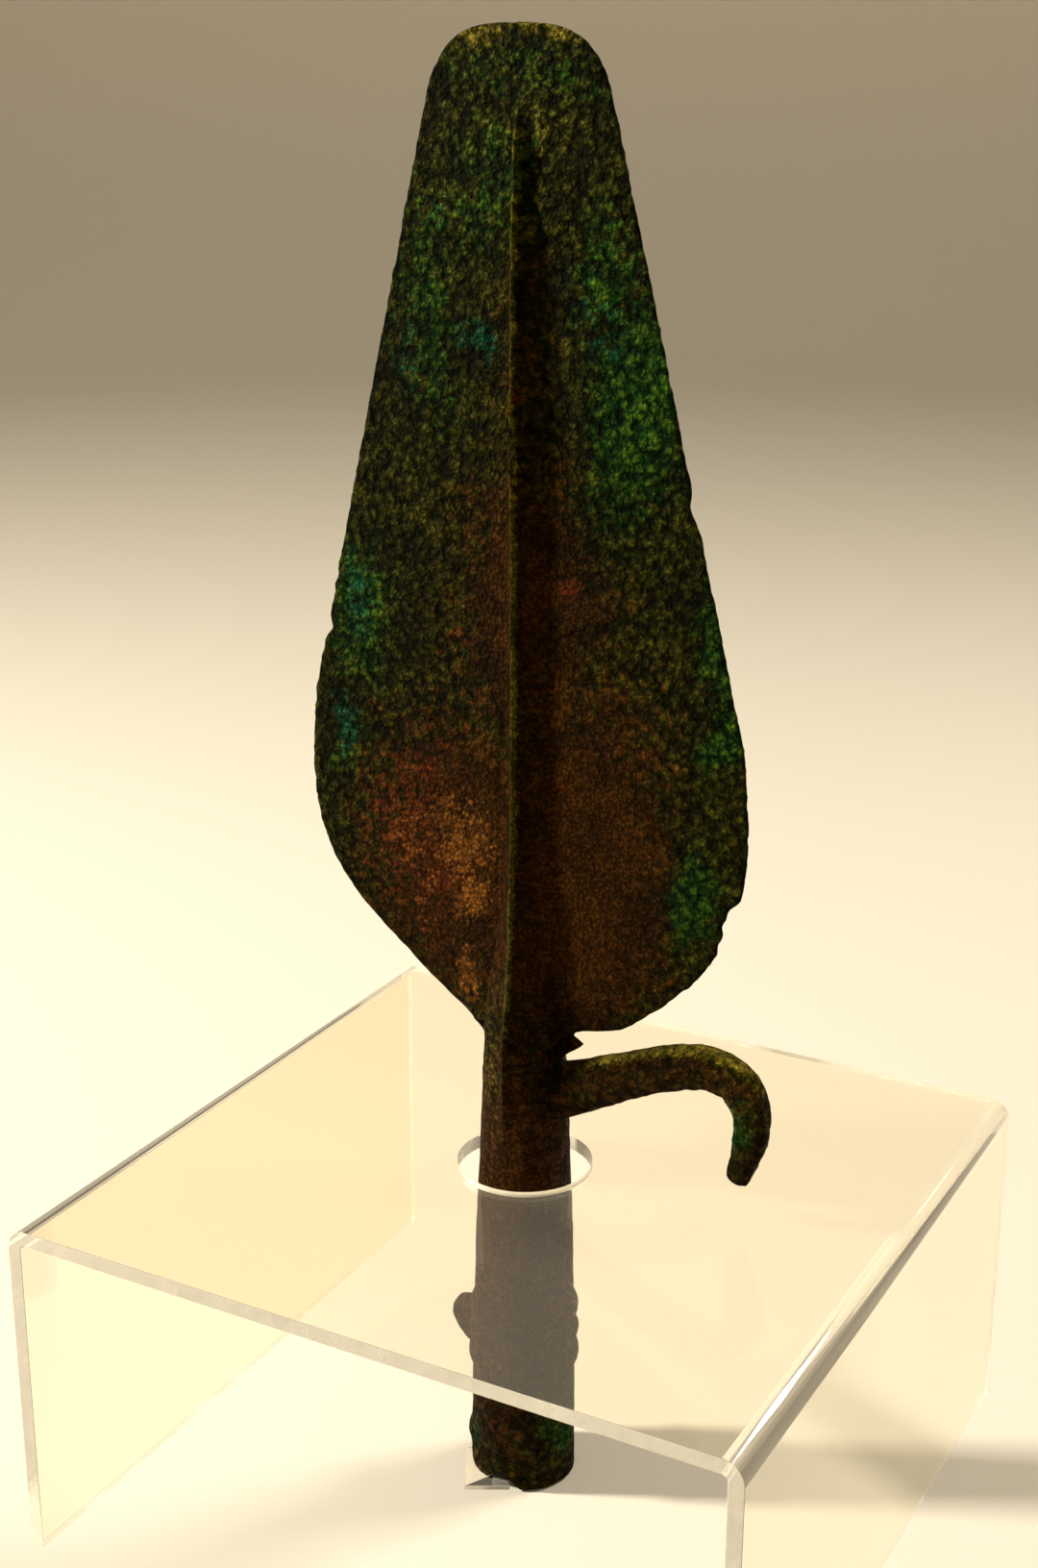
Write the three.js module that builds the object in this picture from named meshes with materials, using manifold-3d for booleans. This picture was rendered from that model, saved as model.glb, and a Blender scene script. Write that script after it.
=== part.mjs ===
// A large cast-bronze spearhead with a barb hook, standing upright in a clear acrylic bridge.
//
// Millimetres, +Z up. The origin is on the floor under the middle of the stand. +X runs along the
// blade's width towards the hook, -Y is the front. The casting's own axis is that of the hole.
//
// The casting is one closed surface: rings of points around the axis, followed from the blade's
// tip down its outside to the mouth of the socket, and back up inside it to the end of the bore.
// The hook and the ear are joined on.

import * as THREE from 'three';
import { mergeVertices } from 'three/addons/utils/BufferGeometryUtils.js';
import Module from 'manifold-3d';

// ---- Driving sizes ---------------------------------------------------------------------------

const LENGTH = 615; // mouth of the socket to the tip of the blade
const LEAN = 0.5; // degrees that the casting bends away from the hook's side, above LEAN_START
const LEAN_START = 170;

// Socket: a slim, slightly swollen cone, open below, that runs on into the blade's midrib.
const MOUTH_RADIUS = 23;
const NECK_RADIUS = 17.4;
const NECK_HEIGHT = 205; // where the blade starts
const SWELL = 1.7; // exponent of the cone: 1 is straight, more keeps it full for longer
const WALL = 3.2;
const BORE_STRAIGHT_TOP = 206; // the bore's cone ends here, and a short dome closes it
const BORE_TOP = 221;

// Three rounded hoops, one against the next.
const HOOP_COUNT = 3;
const HOOP_BOTTOM = 50.4;
const HOOP_PITCH = 11.3;
const HOOP_PROUD = 1.9;

// Blade outline, as half widths from the middle.
const SHOULDER_HEIGHT = 320; // widest level
const SHOULDER_HALF_WIDTH = 100.7;
const OFF_CENTRE = 1.6; // the side away from the hook is this much wider, and the other narrower
const TAPER_START = 350; // above this the sides run straight to the tip
const TAPER_HALF_WIDTH = 98.2; // where they start
const TAPER = 0.245; // half width lost for each unit of height
const TIP_START = 585; // from here the sides round in to the blunt tip
const TIP_POWER = 3;
const TIP_ROUNDING = 0.3;

// Half thicknesses of the blade, beside the midrib and just inside its edge.
const BLADE_HALF_THICKNESS = 2.7;
const EDGE_HALF_THICKNESS = 1.0;

// Midrib: crest heights and half widths of the foot, by height above the floor.
const CREST = [
  [NECK_HEIGHT, 18.9], [216, 17.4], [232, 15], [259, 12.3], [284, 10.5], [320, 9],
  [400, 8.5], [481, 8.2], [522, 7.2], [556, 4.9], [586, 3.4], [592, BLADE_HALF_THICKNESS],
];
const RIB_FOOT = [
  [NECK_HEIGHT, NECK_RADIUS], [226, 16], [250, 12.5], [283, 9], [320, 7.5], [430, 6.5],
  [556, 4.5], [592, 3],
];
const RIDGE_START = 205; // from here the rib's round section turns into a sharp ridge
const RIDGE_FULL = 300;
const KEEL_PROUD = 2.2; // the crest line runs a little way down onto the socket
const KEEL_BOTTOM = 150;
const KEEL_FULL = 198; // from here up it stands out in full
const KEEL_HALF_WIDTH = 4.5;
const PLAIN_FULL = 222; // from here up the blade beside the rib has its full thickness
const WING_FULL = 250; // from here up the section is that of a flat blade, no longer a tube
const RIB_LIMIT = 0.9; // the rib's foot never takes up more of the half width than this

// Control points of the blade's lower edge, from the neck out to the shoulder, as (half width, z).
const LOWER_EDGE_CONTROL = {
  away: [[18.2, 207.4], [73.6, 255.9], [SHOULDER_HALF_WIDTH + OFF_CENTRE, 261.7]],
  hook: [[18.2, 205.5], [84.3, 247.4], [SHOULDER_HALF_WIDTH - OFF_CENTRE, 269.6]],
};

// Worn and broken places along the blade's edge: side (+1 is the hook's), height, reach, depth.
// The first is the torn notch between the blade and the hook.
const EDGE_CHIPS = [
  [1, 218, 6.5, 13], [1, 278, 8.5, 6.5], [1, 262, 7, 5.5], [1, 251, 5, 3], [1, 443, 9, 2],
  [-1, 218, 8, 2], [-1, 377, 7, 2],
];

// The mouth's rim is worn short along one side, with a deeper bite in it: middle and half width
// of the level part and of the slope beside it, in degrees, and height.
const MOUTH_BITES = [
  { middle: 232, level: 52, slope: 14, height: 2.5 },
  { middle: 270, level: 0, slope: 28, height: 7.5 },
];
const BITE_FADE_TOP = 45; // the rings below this level are squeezed up over the bites

// Hook: points on its centre line, as (x, z), from inside the socket's wall to its blunt tip.
const HOOK_LINE = [
  [12, 187.5], [30, 195.7], [50, 205], [70, 212.9], [86, 215.8], [96.5, 212.3], [102.8, 203],
  [103.9, 193], [101.8, 181.5], [98.2, 169],
];
// Its half breadth in the blade's plane and its half thickness across it, by share of length.
const HOOK_BREADTH = [
  [0, 13.5], [0.1, 11.5], [0.3, 9.8], [0.55, 9.1], [0.75, 7.8], [0.93, 5.6], [1, 3.6],
];
const HOOK_THICKNESS = [[0, 8], [0.1, 7], [0.5, 6.4], [0.8, 6], [0.93, 4.8], [1, 3]];
const HOOK_SQUARENESS = 2.5; // exponent of the section: 2 is an ellipse, more is squarer
const HOOK_RINGS = 30;
const HOOK_SIDES = 14;

// Ear: a solid lug over the hoops on the side away from the hook, as (x, z).
const EAR_OUTLINE = [
  [-17, 74], [-27, 73.4], [-29.8, 72.2], [-32.4, 72.8], [-35.1, 67], [-35.2, 64], [-32, 58],
  [-27, 52.5], [-17, 49],
];
const EAR_THICKNESS = 9;
const EAR_BEVEL = 1.4;

// Stand: a sheet bent twice, open in front and behind.
const STAND_WIDTH = 324;
const STAND_DEPTH = 305;
const STAND_HEIGHT = 153;
const SHEET = 6.4;
const BEND_RADIUS = 9; // outside
const BEND_STEPS = 7;
const HOLE_RADIUS = 28.8;
const HOLE_X = -6; // the hole, and so the casting, stands off the middle
const HOLE_STEPS = 72;

// Shim: a stepped pad, turned about the axis, under the broken side of the mouth.
const SHIM_TURN = 28.5; // degrees
const SHIM_PLATE = { x: [-26, -6], y: [-22, 7], top: 2 };
const SHIM_STEP = { x: [-13.5, -6.5], y: [-21.4, -9], top: 3.4 };

// ---- Small helpers ---------------------------------------------------------------------------

const degrees = THREE.MathUtils.degToRad;
const mix = THREE.MathUtils.lerp;
const smooth = (value, low, high) => THREE.MathUtils.smoothstep(value, low, high);

// Value at x of the straight-line table [[x, value], ...], held level beyond its ends.
function along(table, x) {
  if (x <= table[0][0]) return table[0][1];
  const next = table.findIndex(([at]) => at > x);
  if (next < 0) return table[table.length - 1][1];
  const [[x0, v0], [x1, v1]] = [table[next - 1], table[next]];
  return mix(v0, v1, (x - x0) / (x1 - x0));
}

// A raised cosine: 1 at the middle, 0 at the reach on either side.
function bump(distance, reach) {
  return Math.abs(distance) < reach ? Math.cos((distance / reach) * Math.PI / 2) ** 2 : 0;
}

const wasm = await Module();
wasm.setup();

function toSolid(geometry) {
  const bare = geometry.clone();
  bare.deleteAttribute('normal');
  bare.deleteAttribute('uv');
  const merged = mergeVertices(bare, 1e-4);
  return new wasm.Manifold(new wasm.Mesh({
    numProp: 3,
    vertProperties: merged.attributes.position.array,
    triVerts: new Uint32Array(merged.index.array),
  }));
}

function toGeometry(solid) {
  const { vertProperties, triVerts } = solid.getMesh();
  const geometry = new THREE.BufferGeometry();
  geometry.setAttribute('position', new THREE.BufferAttribute(vertProperties, 3));
  geometry.setIndex(new THREE.BufferAttribute(triVerts, 1));
  geometry.computeVertexNormals();
  return geometry;
}

// Skins a stack of rings, each an array of [x, y, z] with the same count, and closes both ends
// with a fan around the ring's middle.
function skin(rings) {
  const count = rings[0].length;
  const middle = (ring) => [0, 1, 2].map((axis) => ring.reduce((sum, p) => sum + p[axis], 0) / count);
  const points = [...rings.flat(), middle(rings[0]), middle(rings[rings.length - 1])];
  const first = rings.length * count;
  const faces = [];
  for (let side = 0; side < count; side++) {
    const next = (side + 1) % count;
    for (let row = 0; row + 1 < rings.length; row++) {
      const a = row * count + side;
      const b = row * count + next;
      faces.push(a, a + count, b, b, a + count, b + count);
    }
    const last = (rings.length - 1) * count;
    faces.push(first, side, next, first + 1, last + next, last + side);
  }
  const geometry = new THREE.BufferGeometry();
  geometry.setAttribute('position', new THREE.Float32BufferAttribute(points.flat(), 3));
  geometry.setIndex(faces);
  return geometry;
}

// ---- The casting -----------------------------------------------------------------------------

// The lower edge of the blade sweeps out from the neck and turns up into the shoulder.
function lowerEdge(control) {
  const shoulder = [control[2][0], SHOULDER_HEIGHT];
  const points = [...control, shoulder].map(([half, z]) => new THREE.Vector2(half, z));
  return new THREE.CubicBezierCurve(...points).getPoints(80).map((p) => [p.y, p.x]);
}
const LOWER_EDGES = {
  [-1]: lowerEdge(LOWER_EDGE_CONTROL.away),
  [1]: lowerEdge(LOWER_EDGE_CONTROL.hook),
};

// Half width of the blade on one side, at a height above the neck.
function halfWidth(side, z) {
  const straight = along([
    [SHOULDER_HEIGHT, SHOULDER_HALF_WIDTH],
    [TAPER_START, TAPER_HALF_WIDTH],
    [LENGTH, TAPER_HALF_WIDTH - TAPER * (LENGTH - TAPER_START)],
  ], z);
  const up = THREE.MathUtils.clamp((z - TIP_START) / (LENGTH - TIP_START), 0, 0.9999);
  const rounded = straight * (1 - up ** TIP_POWER) ** TIP_ROUNDING;
  let half = z < SHOULDER_HEIGHT ? along(LOWER_EDGES[side], z) : rounded - side * OFF_CENTRE;
  for (const [where, height, reach, depth] of EDGE_CHIPS) {
    if (where === side) half -= depth * bump(z - height, reach);
  }
  return half;
}

const QUARTER = 10; // ring points in a quarter turn
const FOOT = 5; // the column that follows the foot of the midrib
// Share of the way from the rib's foot to the cutting edge for the columns from the edge inwards.
const WING_SHARES = [1, 0.965, 0.78, 0.52, 0.26, 0];

function coneRadius(z) {
  return mix(MOUTH_RADIUS, NECK_RADIUS, (z / NECK_HEIGHT) ** SWELL);
}

function socketRadius(z) {
  const turns = (z - HOOP_BOTTOM) / HOOP_PITCH;
  const onHoops = turns > 0 && turns < HOOP_COUNT;
  return coneRadius(z) + (onHoops ? HOOP_PROUD * Math.abs(Math.sin(Math.PI * turns)) : 0);
}

// Point of the blade's section in the quarter x > 0, y > 0: column 0 is the cutting edge and
// column QUARTER the crest of the midrib.
function bladePoint(side, z, column) {
  const blend = smooth(z, NECK_HEIGHT, WING_FULL);
  const angle = (column / QUARTER) * Math.PI / 2;
  const footCosine = Math.cos((FOOT / QUARTER) * Math.PI / 2);
  const half = halfWidth(side, z);
  const foot = Math.min(along(RIB_FOOT, z) * mix(footCosine, 1, blend), half * RIB_LIMIT);
  let x = foot * Math.cos(angle) / footCosine;
  if (column < FOOT) {
    const round = (Math.cos(angle) - footCosine) / (1 - footCosine);
    x = mix(foot, half, mix(round, WING_SHARES[column], blend));
  }
  // Thickness of the plain blade, then the midrib on top of it.
  const ribHalf = Math.min(along(RIB_FOOT, z), half);
  const out = THREE.MathUtils.clamp((x - ribHalf) / Math.max(half - ribHalf, 1), 0, 1);
  const onset = smooth(z, NECK_HEIGHT, PLAIN_FULL);
  const plain = onset * mix(BLADE_HALF_THICKNESS, EDGE_HALF_THICKNESS, out ** 1.5);
  const share = Math.min(x / ribHalf, 1);
  const ridge = smooth(z, RIDGE_START, RIDGE_FULL);
  const shape = Math.max(1 - share ** mix(2, 1.15, ridge), 0) ** mix(0.5, 1.5, ridge);
  const rise = along(CREST, z) - onset * BLADE_HALF_THICKNESS - KEEL_PROUD * (1 - ridge);
  const keel = KEEL_PROUD * (1 - ridge) * Math.max(1 - x / KEEL_HALF_WIDTH, 0);
  return [x, column === 0 ? 0 : plain + Math.max(rise, 0) * shape + keel];
}

function socketPoint(z, column) {
  const angle = (column / QUARTER) * Math.PI / 2;
  const radius = socketRadius(z);
  const x = radius * Math.cos(angle);
  const keel = KEEL_PROUD * smooth(z, KEEL_BOTTOM, KEEL_FULL) * Math.max(1 - x / KEEL_HALF_WIDTH, 0);
  return [x, column === 0 ? 0 : radius * Math.sin(angle) + keel];
}

function axisShift(z) {
  return -Math.max(z - LEAN_START, 0) * Math.tan(degrees(LEAN));
}

// How far the mouth's rim is broken away at an angle, in degrees from +X towards +Y.
function biteHeight(angle) {
  const rises = MOUTH_BITES.map(({ middle, level, slope, height }) => {
    const from = Math.abs(THREE.MathUtils.euclideanModulo(angle - middle + 180, 360) - 180);
    return height * bump(Math.max(from - level, 0), slope);
  });
  return Math.max(...rises);
}

// One ring at a level: pointOf gives the quarter's point for a side and a column.
function ringAt(z, pointOf) {
  const ring = [];
  for (let step = 0; step < 4 * QUARTER; step++) {
    const half = step % (2 * QUARTER);
    const column = half <= QUARTER ? half : 2 * QUARTER - half;
    const alongX = step > QUARTER && step < 3 * QUARTER ? -1 : 1;
    const alongY = step > 2 * QUARTER ? -1 : 1;
    const [x, y] = pointOf(alongX, column);
    const bite = biteHeight((step / (4 * QUARTER)) * 360);
    const level = z < BITE_FADE_TOP ? mix(bite, BITE_FADE_TOP, z / BITE_FADE_TOP) : z;
    ring.push([alongX * x + axisShift(level), alongY * y, level]);
  }
  return ring;
}

// Levels of the rings: closer where the outline bends, chips or closes.
const BELOW_HOOPS = [0, 12, 28, 44];
const HOOP_PARTS = [0, 0.16, 0.5, 0.84]; // shares of one hoop
const ABOVE_HOOPS = [110, 145, 158, 170, 182, 191, KEEL_FULL, NECK_HEIGHT];
const BLADE_LEVELS = [
  209, 212, 215, 218, 221, 223, 226, 230, 235, 240, 245, 251, 256, 262, 270, 278, 286, 296, 307,
  SHOULDER_HEIGHT, 334, TAPER_START, 367, 377, 386, 408, 432, 443, 454, 480, 510, 535, 560, 580,
];
const TIP_LEVELS = [592, 599, 604, 608, 611, 613, 614.4, LENGTH];
const BORE_LEVELS = [0, 28, 90, 130, 170, BORE_STRAIGHT_TOP];
const DOME_SHARES = [0.45, 0.8, 1]; // of the way up the dome that closes the bore
const DOME_TIP_RADIUS = 0.5;

function socketLevels() {
  const hoops = [];
  for (let hoop = 0; hoop < HOOP_COUNT; hoop++) {
    hoops.push(...HOOP_PARTS.map((part) => HOOP_BOTTOM + HOOP_PITCH * (hoop + part)));
  }
  return [...BELOW_HOOPS, ...hoops, HOOP_BOTTOM + HOOP_PITCH * HOOP_COUNT, ...ABOVE_HOOPS];
}

function castingBody() {
  const bladeLevels = [...BLADE_LEVELS, ...TIP_LEVELS];
  const outside = [
    ...socketLevels().map((z) => ringAt(z, (side, column) => socketPoint(z, column))),
    ...bladeLevels.map((z) => ringAt(z, (side, column) => bladePoint(side, z, column))),
  ].reverse();
  const boreRing = (z, radius) => ringAt(z, (side, column) => {
    const angle = (column / QUARTER) * Math.PI / 2;
    return [radius * Math.cos(angle), radius * Math.sin(angle)];
  });
  const boreRadius = (z) => coneRadius(z) - WALL;
  const domeRadius = boreRadius(BORE_STRAIGHT_TOP);
  const inside = [
    ...BORE_LEVELS.map((z) => boreRing(z, boreRadius(z))),
    ...DOME_SHARES.map((share) => boreRing(
      mix(BORE_STRAIGHT_TOP, BORE_TOP, share),
      Math.max(domeRadius * Math.sqrt(1 - share ** 2), DOME_TIP_RADIUS),
    )),
  ];
  return skin([...outside, ...inside]);
}

// The hook: a tapering bar bent out, over and back down, with a squarish rounded section.
function hookBody() {
  const line = new THREE.CatmullRomCurve3(
    HOOK_LINE.map(([x, z]) => new THREE.Vector3(x, 0, z)),
    false, 'centripetal',
  );
  const rings = [];
  const power = 2 / HOOK_SQUARENESS;
  for (let row = 0; row <= HOOK_RINGS; row++) {
    const share = row / HOOK_RINGS;
    const centre = line.getPointAt(share);
    const ahead = line.getTangentAt(share);
    const across = new THREE.Vector3(-ahead.z, 0, ahead.x); // in the blade's plane
    rings.push(Array.from({ length: HOOK_SIDES }, (_, side) => {
      const angle = (side / HOOK_SIDES) * 2 * Math.PI;
      const [c, s] = [Math.cos(angle), Math.sin(angle)];
      const breadth = along(HOOK_BREADTH, share) * Math.sign(c) * Math.abs(c) ** power;
      const thickness = along(HOOK_THICKNESS, share) * Math.sign(s) * Math.abs(s) ** power;
      return [centre.x + across.x * breadth, thickness, centre.z + across.z * breadth];
    }));
  }
  return skin(rings);
}

// The ear: a flat lug with softened edges, standing out from the hoops.
function earBody() {
  const outline = new THREE.Shape(EAR_OUTLINE.map(([x, z]) => new THREE.Vector2(x, z)));
  const lug = new THREE.ExtrudeGeometry(outline, {
    depth: EAR_THICKNESS - 2 * EAR_BEVEL,
    bevelThickness: EAR_BEVEL,
    bevelSize: EAR_BEVEL,
    bevelOffset: -EAR_BEVEL,
    bevelSegments: 2,
  });
  lug.translate(0, 0, EAR_BEVEL - EAR_THICKNESS / 2);
  lug.rotateX(Math.PI / 2);
  return lug;
}

// The bore's own shape, for cutting the hook and the ear back to the inside of the wall.
const BORE_SLACK = 0.4; // it is this much wider than the bore, so that no two faces coincide
function boreBody() {
  const radius = (z) => coneRadius(z) - WALL + BORE_SLACK;
  const wall = BORE_LEVELS.map((z) => new THREE.Vector2(radius(z), z));
  const profile = [
    new THREE.Vector2(0, -1),
    new THREE.Vector2(radius(0), -1),
    ...wall.slice(1),
    new THREE.Vector2(0, BORE_STRAIGHT_TOP),
  ];
  return new THREE.LatheGeometry(profile, 4 * QUARTER).rotateX(Math.PI / 2);
}

function spearhead() {
  const fittings = toSolid(hookBody()).add(toSolid(earBody())).subtract(toSolid(boreBody()));
  const casting = toSolid(castingBody()).add(fittings);
  const bronze = new THREE.MeshStandardMaterial({ color: 0x3b3018, roughness: 0.72, metalness: 0.45 });
  const mesh = new THREE.Mesh(toGeometry(casting), bronze);
  mesh.name = 'spearhead';
  return mesh;
}

// ---- The stand and the shim ------------------------------------------------------------------

function clearAcrylic() {
  return new THREE.MeshStandardMaterial({
    color: 0xf4efe2, roughness: 0.08, metalness: 0, transparent: true, opacity: 0.3,
  });
}

// The bent sheet's section, walked up the outside and back down the inside.
function sheetSection() {
  const half = STAND_WIDTH / 2;
  const bendX = half - BEND_RADIUS; // middles of the two bends
  const bendZ = STAND_HEIGHT - BEND_RADIUS;
  const quarterTurn = Math.PI / 2;
  const path = new THREE.Shape();
  path.moveTo(-half, 0);
  path.lineTo(-half, bendZ);
  path.absarc(-bendX, bendZ, BEND_RADIUS, 2 * quarterTurn, quarterTurn, true);
  path.absarc(bendX, bendZ, BEND_RADIUS, quarterTurn, 0, true);
  path.lineTo(half, 0);
  path.lineTo(half - SHEET, 0);
  path.absarc(bendX, bendZ, BEND_RADIUS - SHEET, 0, quarterTurn, false);
  path.absarc(-bendX, bendZ, BEND_RADIUS - SHEET, quarterTurn, 2 * quarterTurn, false);
  path.lineTo(-half + SHEET, 0);
  return path;
}

function acrylicStand() {
  const sheet = new THREE.ExtrudeGeometry(sheetSection(), {
    depth: STAND_DEPTH, bevelEnabled: false, curveSegments: BEND_STEPS,
  });
  sheet.translate(0, 0, -STAND_DEPTH / 2);
  sheet.rotateX(Math.PI / 2);
  const hole = new THREE.CylinderGeometry(HOLE_RADIUS, HOLE_RADIUS, 4 * SHEET, HOLE_STEPS);
  hole.rotateX(Math.PI / 2);
  hole.translate(HOLE_X, 0, STAND_HEIGHT - SHEET / 2);
  const mesh = new THREE.Mesh(toGeometry(toSolid(sheet).subtract(toSolid(hole))), clearAcrylic());
  mesh.name = 'acrylic_stand';
  return mesh;
}

function acrylicShim() {
  const block = ({ x, y, top }) => new THREE.BoxGeometry(x[1] - x[0], y[1] - y[0], top)
    .translate((x[0] + x[1]) / 2, (y[0] + y[1]) / 2, top / 2);
  const mesh = new THREE.Mesh(
    toGeometry(toSolid(block(SHIM_PLATE)).add(toSolid(block(SHIM_STEP)))), clearAcrylic(),
  );
  mesh.name = 'acrylic_shim';
  mesh.rotation.z = degrees(SHIM_TURN);
  return mesh;
}

// ---- The whole object ------------------------------------------------------------------------

const object = new THREE.Group();
const inHole = new THREE.Group();
inHole.position.x = HOLE_X;
inHole.add(spearhead(), acrylicShim());
object.add(inHole, acrylicStand());

export default object;
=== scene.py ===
"""Looks of a large cast-bronze spearhead with a barb hook, upright in a clear acrylic bridge stand.

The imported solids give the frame: metres, +Z up, +X towards the hook, -Y the front, and the origin
on the floor under the middle of the stand. Sizes in the classes below are millimetres in that
frame, measured from the casting's own axis, and become metres where a mesh is made.
"""

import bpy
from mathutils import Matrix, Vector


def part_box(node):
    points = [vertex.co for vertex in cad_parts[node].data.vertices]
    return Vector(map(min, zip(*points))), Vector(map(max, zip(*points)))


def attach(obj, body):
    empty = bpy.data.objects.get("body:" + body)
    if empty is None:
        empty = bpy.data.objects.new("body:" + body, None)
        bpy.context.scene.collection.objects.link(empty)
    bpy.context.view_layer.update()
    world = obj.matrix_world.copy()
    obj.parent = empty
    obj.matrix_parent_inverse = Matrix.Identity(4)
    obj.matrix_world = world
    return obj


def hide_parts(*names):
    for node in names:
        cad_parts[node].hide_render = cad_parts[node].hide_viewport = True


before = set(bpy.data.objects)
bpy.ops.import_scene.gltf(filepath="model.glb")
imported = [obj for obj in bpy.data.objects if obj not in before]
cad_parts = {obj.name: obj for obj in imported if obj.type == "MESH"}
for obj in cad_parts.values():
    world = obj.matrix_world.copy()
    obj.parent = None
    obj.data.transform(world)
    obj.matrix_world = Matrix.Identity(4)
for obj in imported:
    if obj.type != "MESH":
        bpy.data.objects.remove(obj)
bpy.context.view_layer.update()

import logging
import math
from dataclasses import dataclass, field
from enum import Enum, IntEnum

import bmesh
import bpy
import numpy as np
from mathutils import Matrix, Vector

MM = 0.001
QUARTER_TURN = math.pi / 2
TINY = 1e-9  # keeps a division by a length away from zero
SQUARE_ON = 0.9999  # a face whose normal has a part this large lies square to one of the axes
LOG = logging.getLogger("spearhead")


# ---- Curves and noise ---------------------------------------------------------------------------


def smooth(value: np.ndarray, low: float, high: float) -> np.ndarray:
    """An even S-curve: 0 up to low, 1 from high on, 3t^2 - 2t^3 between them."""
    share = np.clip((np.asarray(value, float) - low) / (high - low), 0.0, 1.0)
    return share * share * (3.0 - 2.0 * share)


def swell(distance: np.ndarray, reach: float) -> np.ndarray:
    """A raised cosine: 1 where distance is 0, down to 0 at the reach on either side."""
    share = np.clip(np.abs(distance) / reach, 0.0, 1.0)
    return np.cos(share * QUARTER_TURN) ** 2


def mix(low: np.ndarray, high: np.ndarray, share: np.ndarray) -> np.ndarray:
    """The value a share of the way from low to high."""
    return low + (high - low) * share


def eased(table: tuple, at: np.ndarray) -> np.ndarray:
    """A rounded curve through a table of (position, value), level beyond its ends.

    Formula: a cubic between each two entries, whose slopes there are those of the entries around.

    Args:
        table: (position, value) pairs in rising order of position.
        at: the positions asked for.

    Returns:
        The value at each position.
    """
    known, values = np.array(table, float).T
    slopes = np.gradient(values, known)
    slopes[[0, -1]] = 0.0
    at = np.clip(np.asarray(at, float), known[0], known[-1])
    left = np.clip(np.searchsorted(known, at, side="right") - 1, 0, len(known) - 2)
    span = known[left + 1] - known[left]
    t = (at - known[left]) / span
    return (
        values[left] * (1 + 2 * t) * (1 - t) ** 2
        + slopes[left] * span * t * (1 - t) ** 2
        + values[left + 1] * t * t * (3 - 2 * t)
        + slopes[left + 1] * span * t * t * (t - 1)
    )


class Seed(IntEnum):
    """One repeatable roughness for each use, so that none follows another."""

    GRAINS = 1
    LARGE_GRAINS = 2
    CRUST_DEPTH = 3
    HILLS = 4
    NICKS = 5
    FINE_NICKS = 6
    WIDE_HILLS = 7
    SEAM_KNOBS = 8
    RIM_CRUMBS = 9
    PITS = 12
    GRAIN_PLACES = 14
    PATCH_SIDEWAYS = 31
    PATCH_UPWARDS = 32


HASH_FACTORS = (73856093, 19349663, 83492791)  # large primes, one for each way of the lattice
SEED_FACTOR = 2654435761
SEED_SPACING = 7
STIR_FACTOR = 0x45D9F3B
WORD = 0xFFFFFFFF  # keeps a hash within 32 bits
OCTAVE_SHIFT = 17.3  # cells by which each octave is moved away from the one before
GRAIN_SALTS = (11, 12, 13)


@dataclass(frozen=True)
class Noise:
    """Repeatable roughness in space, made from hashed lattice corners.

    Attributes:
        seed: picks one roughness from the others.
    """

    seed: Seed

    def corner(self, cells: np.ndarray, salt: int = 0) -> np.ndarray:
        """One even random number from 0 to 1 for each lattice corner.

        Args:
            cells: whole-number corners, shape (..., 3).
            salt: whole number that gives a second, independent set of numbers.

        Returns:
            The numbers, shape (...).
        """
        x, y, z = (cells[..., way].astype(np.int64) * HASH_FACTORS[way] for way in range(3))
        mixed = x ^ y ^ z
        mixed = (mixed ^ ((self.seed * SEED_SPACING + salt) * SEED_FACTOR)) & WORD
        for _ in range(2):
            mixed = ((mixed ^ (mixed >> 16)) * STIR_FACTOR) & WORD
        return ((mixed ^ (mixed >> 16)) & WORD) / 2.0**32

    def waves(self, points: np.ndarray, length: float, octaves: int = 1) -> np.ndarray:
        """Soft random hills from -1 to 1, each octave half as long and half as high.

        Formula: the corner numbers of the cell around a point, blended by an S-curve each way.

        Args:
            points: positions, shape (n, 3).
            length: size of the largest hills, in the unit of the points.
            octaves: how many sizes are added.

        Returns:
            One height for each point.
        """
        total, weight = np.zeros(len(points)), 0.0
        for octave in range(octaves):
            scaled = points / length * 2.0**octave + OCTAVE_SHIFT * octave
            cell = np.floor(scaled)
            share = smooth(scaled - cell, 0.0, 1.0)
            height = np.zeros(len(points))
            for corner in np.ndindex(2, 2, 2):
                sides = np.where(corner, share, 1.0 - share).prod(axis=1)
                height += sides * self.corner(cell + corner, octave)
            total += (2.0 * height - 1.0) * 0.5**octave
            weight += 0.5**octave
        return total / weight

    def grains(self, points: np.ndarray, size: float) -> np.ndarray:
        """Rounded grains packed side by side: 1 on a grain's top, 0 in the cracks.

        Formula: one less the distance to the nearest grain's middle, one loose in each cell.

        Args:
            points: positions, shape (n, 3).
            size: how far apart the grains are.

        Returns:
            One height for each point.
        """
        scaled = points / size
        cell = np.floor(scaled)
        nearest = np.full(len(points), np.inf)
        for step in np.ndindex(3, 3, 3):
            home = cell + step - 1
            middle = home + np.stack([self.corner(home, salt) for salt in GRAIN_SALTS], axis=1)
            nearest = np.minimum(nearest, ((scaled - middle) ** 2).sum(axis=1))
        return np.clip(1.0 - np.sqrt(nearest), 0.0, 1.0)


# ---- Meshes -------------------------------------------------------------------------------------


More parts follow.
